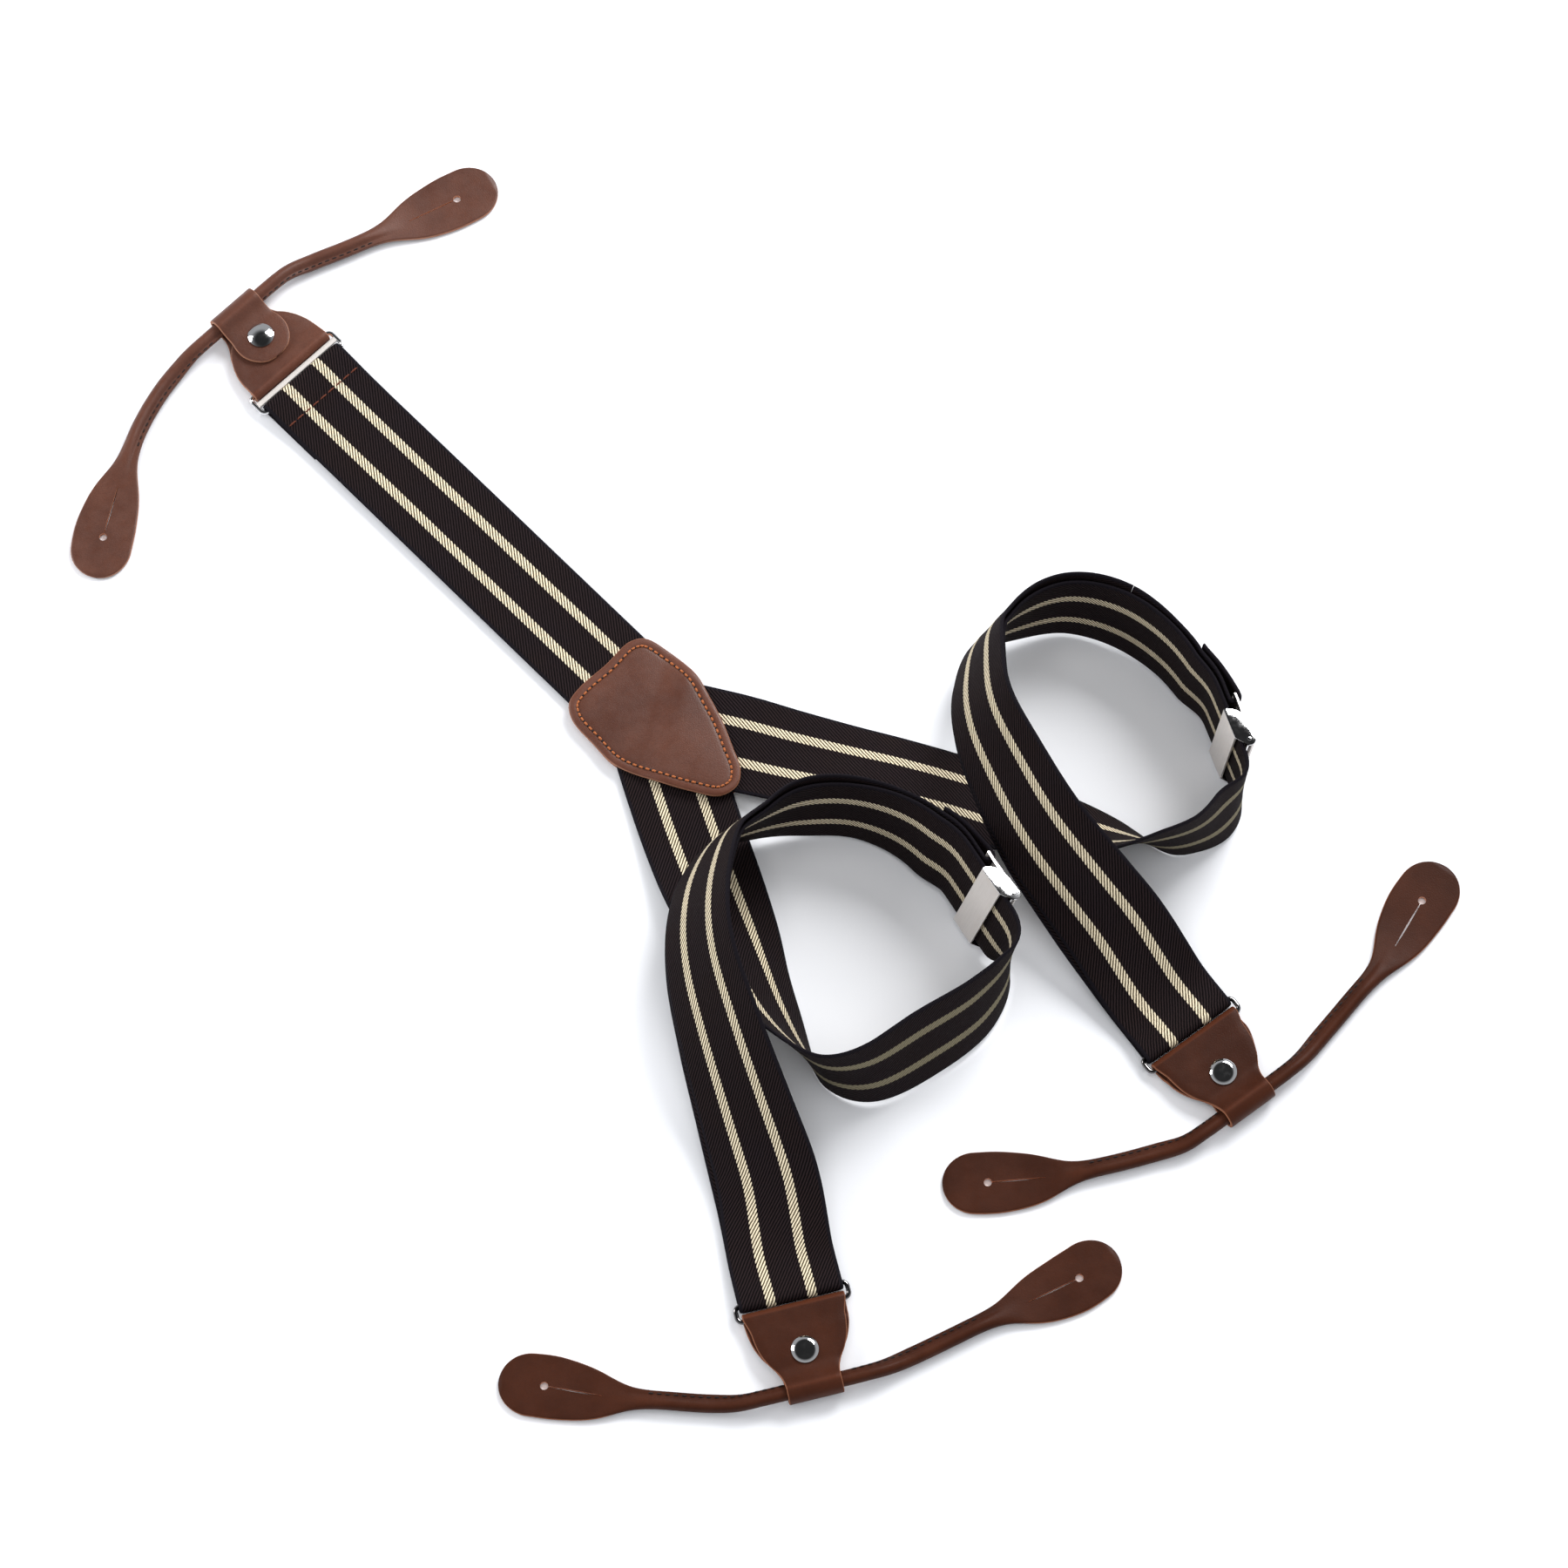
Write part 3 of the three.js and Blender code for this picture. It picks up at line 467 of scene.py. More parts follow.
class Look(Nodes):
    """A material with a principled shader. Settings are its inputs' names, with _ for a space."""

    def __init__(self, name, **settings):
        self.material = bpy.data.materials.new(name)
        super().__init__(self.material)
        self.wear(**settings)

    def mix(self, factor, a, b):
        return self.add("ShaderNodeMix", {0: factor, 6: a, 7: b}, data_type="RGBA").outputs[2]

    def attribute(self, name, output="Fac"):
        return self.add("ShaderNodeAttribute", attribute_name=name).outputs[output]

    def place(self):
        return self.add("ShaderNodeTexCoord").outputs["Object"]

    def noise(self, scale, vector=None, detail=3.0, roughness=0.6):
        vector = vector or self.place()
        inputs = {"Vector": vector, "Scale": scale, "Detail": detail, "Roughness": roughness}
        return self.add("ShaderNodeTexNoise", inputs).outputs["Fac"]

    def bump(self, height, distance, strength):
        inputs = {"Height": height, "Distance": distance, "Strength": strength}
        return self.add("ShaderNodeBump", inputs).outputs["Normal"]

    def wear(self, **settings):
        shader = self.tree.nodes["Principled BSDF"]
        for key, value in settings.items():
            self.give(shader.inputs[key.replace("_", " ")], value)
        return self.material


def rgb(r, g, b):
    """A colour from its 0 to 255 screen values."""
    def linear(c):
        c /= 255
        return c / 12.92 if c <= 0.04045 else ((c + 0.055) / 1.055) ** 2.4
    return (linear(r), linear(g), linear(b), 1)


def webbing_look():
    """Twill elastic: slanted ribs with painted highlight on their tops and painted shade in the grooves,
    two cream stripes made of slanted floats, a plain selvedge.
    """
    look = Look("webbing_twill", Specular_IOR_Level=0.08)
    weave = look.add("ShaderNodeSeparateXYZ", {0: look.attribute("weave", "Vector")})
    along, across, side = weave.outputs
    wander = look.noise(900.0, detail=2.0)
    loose = look.times(look.minus(wander, 0.5), 0.5)
    slanted = look.plus(look.minus(along, look.times(across, RIB_SLANT)), loose)
    phase = look.minus(look.math("FRACT", look.math("DIVIDE", slanted, RIB_PITCH)), 0.5)
    off_rib = look.math("ABSOLUTE", phase)
    # rib lights the rib tops and darkens the grooves between them: painted highlight and painted shade,
    # over the bump that shapes the same ribs.
    rib = look.ramp(off_rib, 0.4, 0.12)
    front = look.math("GREATER_THAN", side, 0.0)
    from_middle = look.math("ABSOLUTE", across)
    off_stripe = look.math("ABSOLUTE", look.minus(from_middle, STRIPE_CENTRE))
    ragged = look.times(look.times(off_rib, off_rib), 1.6)
    stripe = look.ramp(look.plus(off_stripe, ragged), STRIPE_HALF + 0.18, STRIPE_HALF - 0.08)
    bar = look.ramp(off_rib, 0.31, 0.21)
    yarn = look.noise(2600.0, detail=2.0)
    tint = look.noise(60.0, detail=2.0)

    brown = look.mix(tint, rgb(41, 30, 28), rgb(36, 29, 33))
    # The yarn's own brown on the ribs, with near-black painted shade in the grooves between them.
    ground_with_painted_groove_shade = look.mix(rib, rgb(8, 5, 6), brown)
    cream = look.mix(yarn, rgb(222, 206, 174), rgb(247, 235, 208))
    # The cream floats get the same painted groove shade between them, and so do the dull back-face
    # stripes.
    bright = look.mix(bar, rgb(84, 74, 56), cream)
    dull_yarn = look.mix(yarn, rgb(112, 105, 84), rgb(164, 155, 128))
    dull = look.mix(look.math("MULTIPLY_ADD", bar, 0.35, 0.5), rgb(58, 52, 40), dull_yarn)
    face = look.mix(stripe, ground_with_painted_groove_shade, look.mix(front, dull, bright))
    selvedge = look.ramp(from_middle, WEB_HALF - 1.3, WEB_HALF - 0.9)
    colour = look.mix(selvedge, face, rgb(22, 19, 24))
    lint = look.ramp(look.noise(420.0, detail=4.0, roughness=0.75), 0.66, 0.8)
    colour = look.mix(look.times(lint, 0.15), colour, rgb(84, 74, 70))

    plain = look.minus(1.0, look.times(selvedge, 0.7))
    relief = look.times(look.plus(look.times(yarn, 0.35), rib), plain)
    normal = look.bump(relief, 0.00016, 0.9)
    rough = look.ramp(yarn, 0.2, 0.8, 0.72, 0.92)
    return look.wear(Base_Color=colour, Roughness=rough, Normal=normal)


def leather_look(name, dark, light, raw, shine=0.36):
    """Smooth waxed hide: cloudy brown, lighter and redder at folds, rims and ridges, partly pull-up wear
    and partly painted highlight, with a paler cut edge.
    """
    look = Look(name, Specular_IOR_Level=shine, Coat_Weight=shine / 8, Coat_Roughness=0.35)
    cloud = look.noise(45.0, detail=5.0)
    fibre = look.noise(1500.0, detail=4.0, roughness=0.7)
    colour = look.mix(look.ramp(cloud, 0.3, 0.7), dark, light)
    colour = look.mix(look.times(look.ramp(fibre, 0.35, 0.75), 0.28), colour, rgb(50, 27, 19))
    # Lighter, redder tint from the mesh's tag: pull-up wear at stretched folds, and painted highlight on
    # bends and ridges.
    colour = look.mix(look.times(look.attribute("wear_and_highlight"), 0.2), colour, rgb(118, 60, 34))
    colour = look.mix(look.attribute("raw"), colour, raw)
    pores = look.add("ShaderNodeTexVoronoi", {"Vector": look.place(), "Scale": 1900.0})
    grain = look.ramp(pores.outputs["Distance"], 0.1, 0.6)
    crease = look.noise(260.0, detail=5.0, roughness=0.65)
    relief = look.plus(look.times(grain, 0.5), look.times(crease, 0.8))
    smoothness = look.ramp(crease, 0.3, 0.7, 0.38, 0.52)
    rough = look.plus(smoothness, look.times(look.attribute("raw"), 0.3))
    return look.wear(Base_Color=colour, Roughness=rough, Normal=look.bump(relief, 0.00007, 0.6))


def chrome_look(name, dark, light):
    look = Look(name, Metallic=1.0)
    haze = look.noise(300.0, detail=6.0, roughness=0.7)
    scuff = look.noise(3000.0, detail=3.0)
    colour = look.mix(haze, dark, light)
    return look.wear(Base_Color=colour, Roughness=look.ramp(haze, 0.35, 0.75, 0.05, 0.16),
                     Normal=look.bump(scuff, 0.000004, 0.5))


def brushed_look():
    """Satin plate with fine lines across the strap's width, which is the plate's own y."""
    look = Look("brushed_plate", Metallic=0.4)
    lines = look.noise(1.0, look.attribute("brush", "Vector"), detail=4.0, roughness=0.7)
    blotch = look.noise(120.0, detail=4.0)
    colour = look.mix(look.times(lines, 0.6), rgb(234, 228, 223), rgb(198, 191, 187))
    colour = look.mix(look.times(look.ramp(blotch, 0.45, 0.7), 0.3), colour, rgb(228, 220, 212))
    return look.wear(Base_Color=colour, Roughness=look.ramp(lines, 0.3, 0.7, 0.34, 0.5),
                     Normal=look.bump(lines, 0.00001, 0.5))


def thread_look(name, dark, light):
    """Sewing thread with its plies showing as a slanted twist."""
    look = Look(name, Specular_IOR_Level=0.4)
    twist = look.add("ShaderNodeSeparateXYZ", {0: look.attribute("weave", "Vector")})
    turns = look.times(look.plus(twist.outputs[0], twist.outputs[1]), 9.0)
    ply = look.ramp(look.math("SINE", turns), -1.0, 1.0)
    fuzz = look.noise(4000.0, detail=2.0)
    colour = look.mix(look.times(look.plus(ply, fuzz), 0.5), dark, light)
    return look.wear(Base_Color=colour, Roughness=look.ramp(fuzz, 0.3, 0.7, 0.55, 0.8),
                     Normal=look.bump(ply, 0.00008, 0.7))


webbing = webbing_look()
leather = leather_look("brown_leather", rgb(76, 42, 30), rgb(92, 54, 40), rgb(168, 116, 90))
# A darker, less shiny copy of the brown leather for the front saddles and cords: painted shade on the
# front ends.
shaded_front_leather = leather_look(
    "front_leather_painted_shade", rgb(53, 25, 14), rgb(67, 34, 21), rgb(150, 98, 72), shine=0.1)
raw_leather = leather_look("raw_leather", rgb(188, 128, 96), rgb(208, 152, 120), rgb(208, 152, 120))
chrome = chrome_look("polished_chrome", rgb(222, 222, 225), rgb(238, 237, 236))
# A darkened copy of the chrome for the front rings and the adjusters' cheeks: painted dark reflections.
chrome_painted_dark = chrome_look("chrome_painted_dark", rgb(104, 102, 104), rgb(142, 139, 138))
brushed = brushed_look()
orange_thread = thread_look("orange_thread", rgb(136, 70, 36), rgb(198, 116, 62))
rust_thread = thread_look("rust_thread", rgb(74, 32, 18), rgb(116, 54, 30))
dark_thread = thread_look("dark_thread", rgb(20, 14, 14), rgb(44, 32, 30))


# ---------------- webbing
# Half of the strap's section: distance across, and height of the front and of the back face.
WEB_PROFILE = [
    [17.5, 0, 0], [17.36, 0.34, 0.34], [17.0, 0.55, 0.55], [16.4, 0.64, 0.63], [15.6, 0.68, 0.66],
    [12, 0.72, 0.7], [8.9, 0.72, 0.7], [8.45, 0.8, 0.72], [6.9, 0.84, 0.73], [5.35, 0.8, 0.72],
    [4.9, 0.72, 0.7], [2.4, 0.72, 0.7],
]


def web_section():
    """Offsets along the normal and across, and the tags of each point: its place across and its face."""
    half = np.array(WEB_PROFILE)
    b = np.concatenate([-half[:, 0], [0], half[::-1, 0]])
    front, back = (np.concatenate([half[:, k], half[-1:, k], half[::-1, k]]) for k in (1, 2))
    section = np.concatenate([np.stack([front, b], 1), np.stack([-back, b], 1)[-2:0:-1]])
    side = np.concatenate([np.ones(len(b)), -np.ones(len(b) - 2)])
    return section, np.stack([section[:, 1], side], 1)


def web_mesh(name, p, w, start=0.0):
    """A stretch of webbing along p. Its weave starts at that distance, and it returns where it ends."""
    section, tags = web_section()
    mesh = loft_mesh(name, swept(p, w, section))
    along = start + distances(p)
    weave = np.empty((len(p), len(section), 3))
    weave[..., 0] = along[:, None]
    weave[..., 1:] = tags
    tag(mesh, "weave", weave.reshape(-1, 3))
    return mesh, along[-1]


def fold_points(centre, outward, first, steps=20):
    """Half a turn round a bar, starting on the side that first points to."""
    angle = np.linspace(0, math.pi, steps + 1)[:, None]
    return centre + FOLD_RADIUS * (first * np.cos(angle) + outward * np.sin(angle))


def heading(degrees):
    angle = math.radians(degrees)
    return np.array([math.cos(angle), math.sin(angle), 0])


def return_points(route, at):
    """Middle and width direction of the returning layer, outside the first one."""
    p, _, w, n = route.frame(at)
    from_bar = np.hypot(p[:, 0] - route.end[0], p[:, 1] - route.end[1])
    from_adjuster = np.interp(at, route.grid, route.far)
    opening = 1 - smooth(from_bar, *FOLD_CLOSES)
    offset = LAYER_PITCH + (2 * FOLD_RADIUS - LAYER_PITCH) * opening
    over_tail = smooth(from_adjuster, *TAIL_ROOM_STARTS) * (1 - smooth(from_adjuster, *TAIL_ROOM_ENDS))
    offset += TAIL_ROOM * over_tail
    past_tail = at - route.at_distance(TAIL_START)
    shift = RETURN_SHIFT * smooth(past_tail, 0, 2) * smooth(from_bar, *SHIFT_STARTS)
    return p - n * offset[:, None] + w * shift[:, None], w


def shoulder_strap(side, route):
    """The strap in two pieces: yoke to ring and back, and the end round the adjuster."""
    outward = heading(route.end[2])
    left = np.cross(UP, outward)
    bar = np.array([*route.end[:2], BAR_HEIGHT])
    step = 1 / STRAP_SAMPLES
    p_out, _, w_out, _ = route.frame(np.arange(0, route.spans, step))
    fold = fold_points(bar, outward, -UP)
    split = route.at_distance(STRAP_SPLIT)
    back_at = np.append(np.arange(route.spans - step, split, -step), split)
    p_back, w_back = return_points(route, back_at)
    p = np.vstack([p_out, fold, p_back])
    w = np.vstack([w_out, np.tile(left, (len(fold), 1)), w_back])
    mesh, weave_at = web_mesh(f"{side}_strap_webbing", p, w)
    piece(mesh, webbing, "straps", [f"{side}_shoulder_strap"])
    strap_end(side, route, split, weave_at)


def strap_end(side, route, split, weave_at):
    """From the split round the adjuster's end bar, and its sewn end."""
    first = np.arange(split, route.at_distance(END_BAR_X + 1), -1 / END_SAMPLES)
    p_first, w_first = return_points(route, first)
    p, forward, w, n = route.frame_at(route.adjuster_at)
    bar = p + forward * END_BAR_X + n * END_BAR_Z
    fold = fold_points(bar, -forward, n)
    last = np.arange(END_BAR_X + 1.5, TAIL_LAST_LENGTH + 0.1, 1.25)
    q, _, w_last, n_last = route.frame(route.at_distance(last))
    drop = smooth(last, END_BAR_X, TAIL_LEVEL_X)[:, None]
    z = END_BAR_Z - FOLD_RADIUS + (TAIL_LAST_Z - END_BAR_Z + FOLD_RADIUS) * drop
    p_all = np.vstack([p_first, fold, q + n_last * z])
    w_all = np.vstack([w_first, np.tile(w, (len(fold), 1)), w_last])
    mesh, _ = web_mesh(f"{side}_strap_end", p_all, w_all, weave_at)
    end = piece(mesh, webbing, None, [f"{side}_strap_tail"])
    ends = [route.frame(route.at_distance(d))[0][0] * MM for d in (STRAP_SPLIT - 4, TAIL_START + 2)]
    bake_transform(end)
    p, _, w, n = route.frame_at(route.at_distance(TAIL_LAST_LENGTH - 4))
    tack = p + n * (TAIL_LAST_Z - WEB_THICK / 2 - 0.05)
    across = np.arange(-14, 14.1, 3.3)[:, None]
    sew(f"{side}_tail_tack", rust_thread, f"{side}_adjuster", tack + w * across, w, -n, TACK_STITCH)


def back_strap():
    """From the yoke to the rear ring, round its bar and turned under, with its row of stitches."""
    outward = heading(REAR[2])
    right = np.cross(outward, UP)
    length = math.hypot(REAR[0], REAR[1])
    heights = np.array([
        [6, YOKE_LEVEL_1], [40, YOKE_LEVEL_1], [length - 45, 2.75], [length - 22, 2.85],
        [length - 12, 3.4], [length - 6, 4.2], [length - 0.5, BAR_HEIGHT + FOLD_RADIUS],
    ])
    top = spline(heights, np.linspace(0, len(heights) - 1, 140), True)
    top = top[:, :1] * outward + top[:, 1:] * UP
    centre = length * outward
    base = np.array([REAR[0], REAR[1], 0]) - centre
    fold = fold_points(centre + BAR_HEIGHT * UP, outward, UP)
    under = np.arange(1.5, 25.1, 1.5)[:, None]
    under = centre - under * outward + (BAR_HEIGHT - FOLD_RADIUS) * UP
    p = np.vstack([top, fold, under]) + base
    mesh, _ = web_mesh("back_strap_webbing", p, np.tile(right, (len(p), 1)))
    piece(mesh, webbing, "straps", ["back_strap"])
    seam_top = np.interp(length - SEAM_FROM_BAR, heights[:, 0], heights[:, 1])
    seam = base + centre - SEAM_FROM_BAR * outward + (seam_top + WEB_THICK / 2 - 0.02) * UP
    across = np.arange(-14.4, 14.5, 3.6)[:, None]
    centres = seam + right * across
    sew("rear_seam_stitches", rust_thread, "straps", centres, right, UP, REAR_STITCH, ["rear_seam_thread"])


def sew(name, look, body, centres, directions, normals, size, stands_for=()):
    """A piece of arched stitches, one at each centre, with their ends sunk into what they hold."""
    length, dia = size
    count, sides = 7, 8
    steps = np.linspace(-1, 1, count)
    angle = whole_turn(sides)
    reach = np.sqrt(np.clip(1 - steps ** 4, 0.08, 1)) * dia / 2
    lift = (1 - steps ** 2) * dia * 0.35 - dia * 0.2
    centres = np.atleast_2d(centres)
    directions = unit(np.broadcast_to(directions, centres.shape))
    normals = unit(np.broadcast_to(normals, centres.shape))
    beside = np.cross(directions, normals)
    verts, faces, weave = [], [], []
    for c, d, n, s in zip(centres, directions, normals, beside):
        middle = c + d * (steps * length / 2)[:, None] + n * lift[:, None]
        ring = reach[:, None, None] * (np.cos(angle)[:, None] * n + np.sin(angle)[:, None] * s)
        start = len(verts) * count * sides
        faces += [tuple(i + start for i in f) for f in loft_faces(count, sides)]
        verts.append((middle[:, None] + ring).reshape(-1, 3))
        along = np.repeat(steps * length / 2, sides)
        weave.append(level(np.stack([along, np.tile(angle / 9, count)], 1)))
    mesh = mesh_of(name, np.vstack(verts), faces, 60)
    tag(mesh, "weave", np.vstack(weave))
    piece(mesh, look, body, stands_for)


# ---------------- yoke
YOKE_COUNT = 176
YOKE_REST_Z = 1.42
YOKE_CROWN = 0.5
BRIDGE = 4.0
STITCH_INSET = 3
STITCH_PITCH = 2.4
STITCH_RISE = 1.42
yoke_path = Path(YOKE_OUTLINE, closed=True)


def yoke_inset(inset, count=YOKE_COUNT):
    distance = np.arange(count) / count * yoke_path.length
    return yoke_path.point(distance) + inset * sideways(yoke_path.forward(distance))


def yoke_layers(xy):
    """Height of what lies under the upper leather: the straps, or the lower leather between them."""
    # Start, direction, where the strap begins along it, and the height of its face.
    straps = [
        ((0, 0), REAR[2], 6, 3.3),
        (RIGHT_ROUTE[0][:2], -73, 0, 3.3),
        (LEFT_ROUTE[0][:2], -13.9, 0, 5.15),
    ]
    height = np.full(len(xy), YOKE_REST_Z)
    for start, angle, begins, top in straps:
        d = heading(angle)[:2]
        off = xy - np.array(start)
        along, across = off @ d, np.abs(off @ [d[1], -d[0]])
        side = WEB_HALF + BRIDGE
        mask = smooth(along, begins - 8 - BRIDGE, begins - BRIDGE) * (1 - smooth(across, side, side + 6))
        height = np.maximum(height, YOKE_REST_Z + (top - YOKE_REST_Z) * mask)
    return height


def yoke_support(xy):
    """The same height smoothed over a small disc, because leather bridges the steps under it."""
    total, samples = yoke_layers(xy), 1
    for radius, count in ((BRIDGE / 2, 8), (BRIDGE, 16)):
        for step in radius * round_section(count):
            total = total + yoke_layers(xy + step)
            samples += 1
    return total / samples


def yoke_top():
    """The upper leather drapes over the straps and has a stitched groove inside its rim."""
    rim = [
        (0.35, 0.02), (0.08, 0.3), (0, 0.7), (0.08, 1.05), (0.35, 1.3), (0.9, 1.42), (1.7, 1.46),
        (2.4, 1.38), (3.0, 1.2), (3.6, 1.4), (4.4, 1.52),
    ]
    inner = yoke_inset(rim[-1][0])
    middle = inner.mean(0)
    rings, wear_and_highlight, raw = [], [], []

    def add_ring(xy, rise, rim_tint, how_raw):
        rings.append(np.column_stack([xy, yoke_support(xy) + rise]))
        wear_and_highlight.append(rim_tint)
        raw.append(how_raw)

    for share in (0.04, 0.4, 0.8):
        add_ring(middle + (inner - middle) * share, 0, 0, 1)
    for inset, rise in rim:
        how_raw = 0.7 if 0.25 < rise < 1.1 else 0
        # The rounded rim gets the leather's lighter, redder tint.
        add_ring(yoke_inset(inset), rise, 0.8 * (1 - smooth(inset, 1.6, 3)), how_raw)
    for share in (0.93, 0.84, 0.74, 0.62, 0.5, 0.38, 0.27, 0.17, 0.09, 0.03):
        rise = rim[-1][1] + YOKE_CROWN * (1 - share ** 2)
        add_ring(middle + (inner - middle) * share, rise, 0, 0)
    mesh = loft_mesh("yoke_top_hide", rings, 70)
    tag(mesh, "wear_and_highlight", np.repeat(wear_and_highlight, YOKE_COUNT))
    tag(mesh, "raw", np.repeat(raw, YOKE_COUNT))
    piece(mesh, leather, "straps", ["yoke_top_leather"])


def yoke_bottom():
    """The lower leather is flat. Each ring: inset, height, and how much of it is cut edge."""
    rim = [
        (5, 0.05, 0), (0.9, 0.05, 0), (0.65, 0.3, 0.6), (0.6, 0.65, 1), (0.65, 1.05, 0.8),
        (0.95, 1.28, 0.3), (5, 1.28, 0),
    ]
    rings = [level(yoke_inset(inset)) + z * UP for inset, z, _ in rim]
    mesh = loft_mesh("yoke_bottom_hide", rings, 50)
    tag(mesh, "raw", np.repeat([raw for _, _, raw in rim], YOKE_COUNT))
    piece(mesh, leather, "straps", ["yoke_bottom_leather"])


def yoke_sewing():
    """The ring of stitches in the groove, and a dark piece between each two of them that paints the shade
    in the awl hole.
    """
    count = round(yoke_path.length / STITCH_PITCH)
    line = yoke_inset(STITCH_INSET, count)
    ahead = level(onward(line))
    centres = np.column_stack([line, yoke_support(line) + STITCH_RISE])
    sew("yoke_thread", orange_thread, "straps", centres, ahead, UP, YOKE_STITCH, ["yoke_stitching"])
    # Painted shade: small dark pieces sunk where the awl holes are.
    between = (centres + np.roll(centres, -1, 0)) / 2 - 0.06 * UP
    sew("yoke_painted_hole_shade", dark_thread, "straps", between, ahead, UP, HOLE_SHADE_SIZE)


# ---------------- rings, saddles and rivets
class EndFrame:
    """A ring's own frame: x away from the webbing bar, y to the left, z up."""

    def __init__(self, end, shift=0.0):
        self.x = heading(end[2])
        self.y = np.cross(UP, self.x)
        self.origin = np.array([end[0], end[1], 0]) + self.x * shift

    def __call__(self, points):
        points = np.asarray(points, float)
        return self.origin + points[..., :1] * self.x + points[..., 1:2] * self.y + points[..., 2:] * UP


def arc(cx, cy, radius, start, end, steps):
    turns = np.radians(np.linspace(start, end, steps + 1))
    return [[cx + radius * math.cos(a), cy + radius * math.sin(a)] for a in turns]


def ring_mesh(name, place, length):
    x, y = length - RING_CORNER, RING_HALF_WIDTH - RING_CORNER
    corners = [(x, y, 0), (RING_CORNER, y, 90), (RING_CORNER, -y, 180), (x, -y, 270)]
    flat = np.vstack([arc(cx, cy, RING_CORNER, start, start + 90, 8) for cx, cy, start in corners])
    section = WIRE_DIA / 2 * round_section(WIRE_SIDES)
    w = unit(level(sideways(onward(flat))))
    wire = swept(level(flat) + BAR_HEIGHT * UP, w, section, endless=True)
    return loft_mesh(name, place(wire), 50, endless=True)


def middle_bar_mesh(name, place, x):
    """The rear ring's flat middle bar, with satin lines along it."""
    steps, sides = 9, 20
    bar_y = np.linspace(-RING_HALF_WIDTH, RING_HALF_WIDTH, steps)
    bar = np.stack([np.full(steps, x), bar_y, np.full(steps, BAR_HEIGHT)], 1)
    circle = round_section(sides)
    oval = [0.6, 1.0] * np.sign(circle) * np.sqrt(np.abs(circle))
    rings = swept(bar, np.tile([1.0, 0, 0], (steps, 1)), oval)
    mesh = loft_mesh(name, place(rings), 50)
    tag(mesh, "brush", rings.reshape(-1, 3) * BRUSH_STRETCH)
    return mesh


FLAP_Z = 3.35
LOW_Z = 1.75
HIGH_Z = 4.95
BELL = [[4.5, 15.9], [8, 15.5], [12, 14.7], [16, 13], [19.5, 10.8]]
NECK_HALF = 9.2
SADDLE_HALF = 17.2
BAR_FOLD_RADIUS = 1.75


def saddle_path(bell_on_top):
    """x, z and half width along the hide: round flap, fold round the bar, bell, tunnel, tongue."""
    flip = 1 if bell_on_top else -1
    middle = 0 if bell_on_top else 2 * FLAP_Z
    flap_z = middle + flip * FLAP_Z
    flap = [
        [21.6, flap_z, 2], [21, flap_z, 5.5], [19.4, flap_z, 9], [16.6, flap_z, 12.2],
        [13, flap_z, 14.6], [9, flap_z, 16.2], [6, middle + flip * (FLAP_Z - 0.05), 16.8],
        [3.6, BAR_HEIGHT - flip, 17],
    ]
    turns = np.radians(-90 + 22.5 * np.arange(9)) * flip
    r = BAR_FOLD_RADIUS
    fold = [[-r * math.cos(a), BAR_HEIGHT + r * math.sin(a), SADDLE_HALF] for a in turns]
    bell_z = HIGH_Z if bell_on_top else LOW_Z
    bell = [[x, bell_z - (flip * 0.25 if i == 0 else 0), half] for i, (x, half) in enumerate(BELL)]
    enter, leave = (6.1, 1.5) if bell_on_top else (1.5, 6.1)
    turns = np.radians(100 - 25 * np.arange(9)) * flip
    r = TUNNEL_MID_RADIUS
    tunnel = [[TUNNEL_X + r * math.cos(a), TUNNEL_Z + r * math.sin(a), NECK_HALF] for a in turns]
    tongue_z = LOW_Z if bell_on_top else HIGH_Z
    tongue = [
        [22.6, leave, NECK_HALF], [19, tongue_z, 9.3], [16, tongue_z, 9.9], [12.4, tongue_z, 9.8],
        [9.3, tongue_z, 8.6], [7, tongue_z, 6.8], [5.5, tongue_z, 4.6], [4.8, tongue_z, 1.8],
    ]
    return np.array([*flap, *fold, *bell, [22.6, enter, 9.6], *tunnel, *tongue], float)


def hide_section(half_thick, half_width):
    """A strip of leather with rounded edges, and how much of each point is cut edge."""
    edge, across = 0.4, 12
    b = np.linspace(-(half_width - edge), half_width - edge, across)
    face = np.stack([np.full(across, half_thick), b], 1)
    side = np.array([[0.86, -0.12], [0.45, -0.02], [-0.45, -0.02], [-0.86, -0.12]]) * [half_thick, 1]
    right = side + [0, half_width]
    section = np.vstack([face, right, -face, -right])
    raw = np.concatenate([np.zeros(across), [0.6, 1, 1, 0.6]] * 2)
    return section, raw


def saddle_mesh(name, place, bell_on_top):
    points = saddle_path(bell_on_top)
    # The curve runs through the same points as the CAD's, in x, half width and z.
    curve = points[:, [0, 2, 1]]
    at = np.linspace(0, len(points) - 1, (len(points) - 1) * 5 + 1)
    s = spline(curve, at, centripetal=True)
    sections, raws = zip(*(hide_section(LEATHER_THICK / 2, half) for half in s[:, 1]))
    p = np.stack([s[:, 0], np.zeros(len(s)), s[:, 2]], 1)
    w = np.tile([0.0, 1.0, 0.0], (len(s), 1))
    rings = swept(p, w, np.array(sections))
    step = np.gradient(p, axis=0)
    bend = np.linalg.norm(np.gradient(unit(step), axis=0), axis=1) / np.linalg.norm(step, axis=1)
    mesh = loft_mesh(name, place(rings), 55)
    tag(mesh, "raw", np.concatenate(raws))
    # Sharp bends get the lighter, redder tint: pull-up wear and painted highlight where the hide folds.
    tag(mesh, "wear_and_highlight", np.repeat(smooth(bend, 0.08, 0.6), rings.shape[1]))
    return mesh


def lathe(profile, x, y, sides):
    """Rings of a turned piece about the upright line at x, y. The profile is radius and height."""
    return np.array([level([x, y] + r * round_section(sides)) + z * UP for r, z in profile])


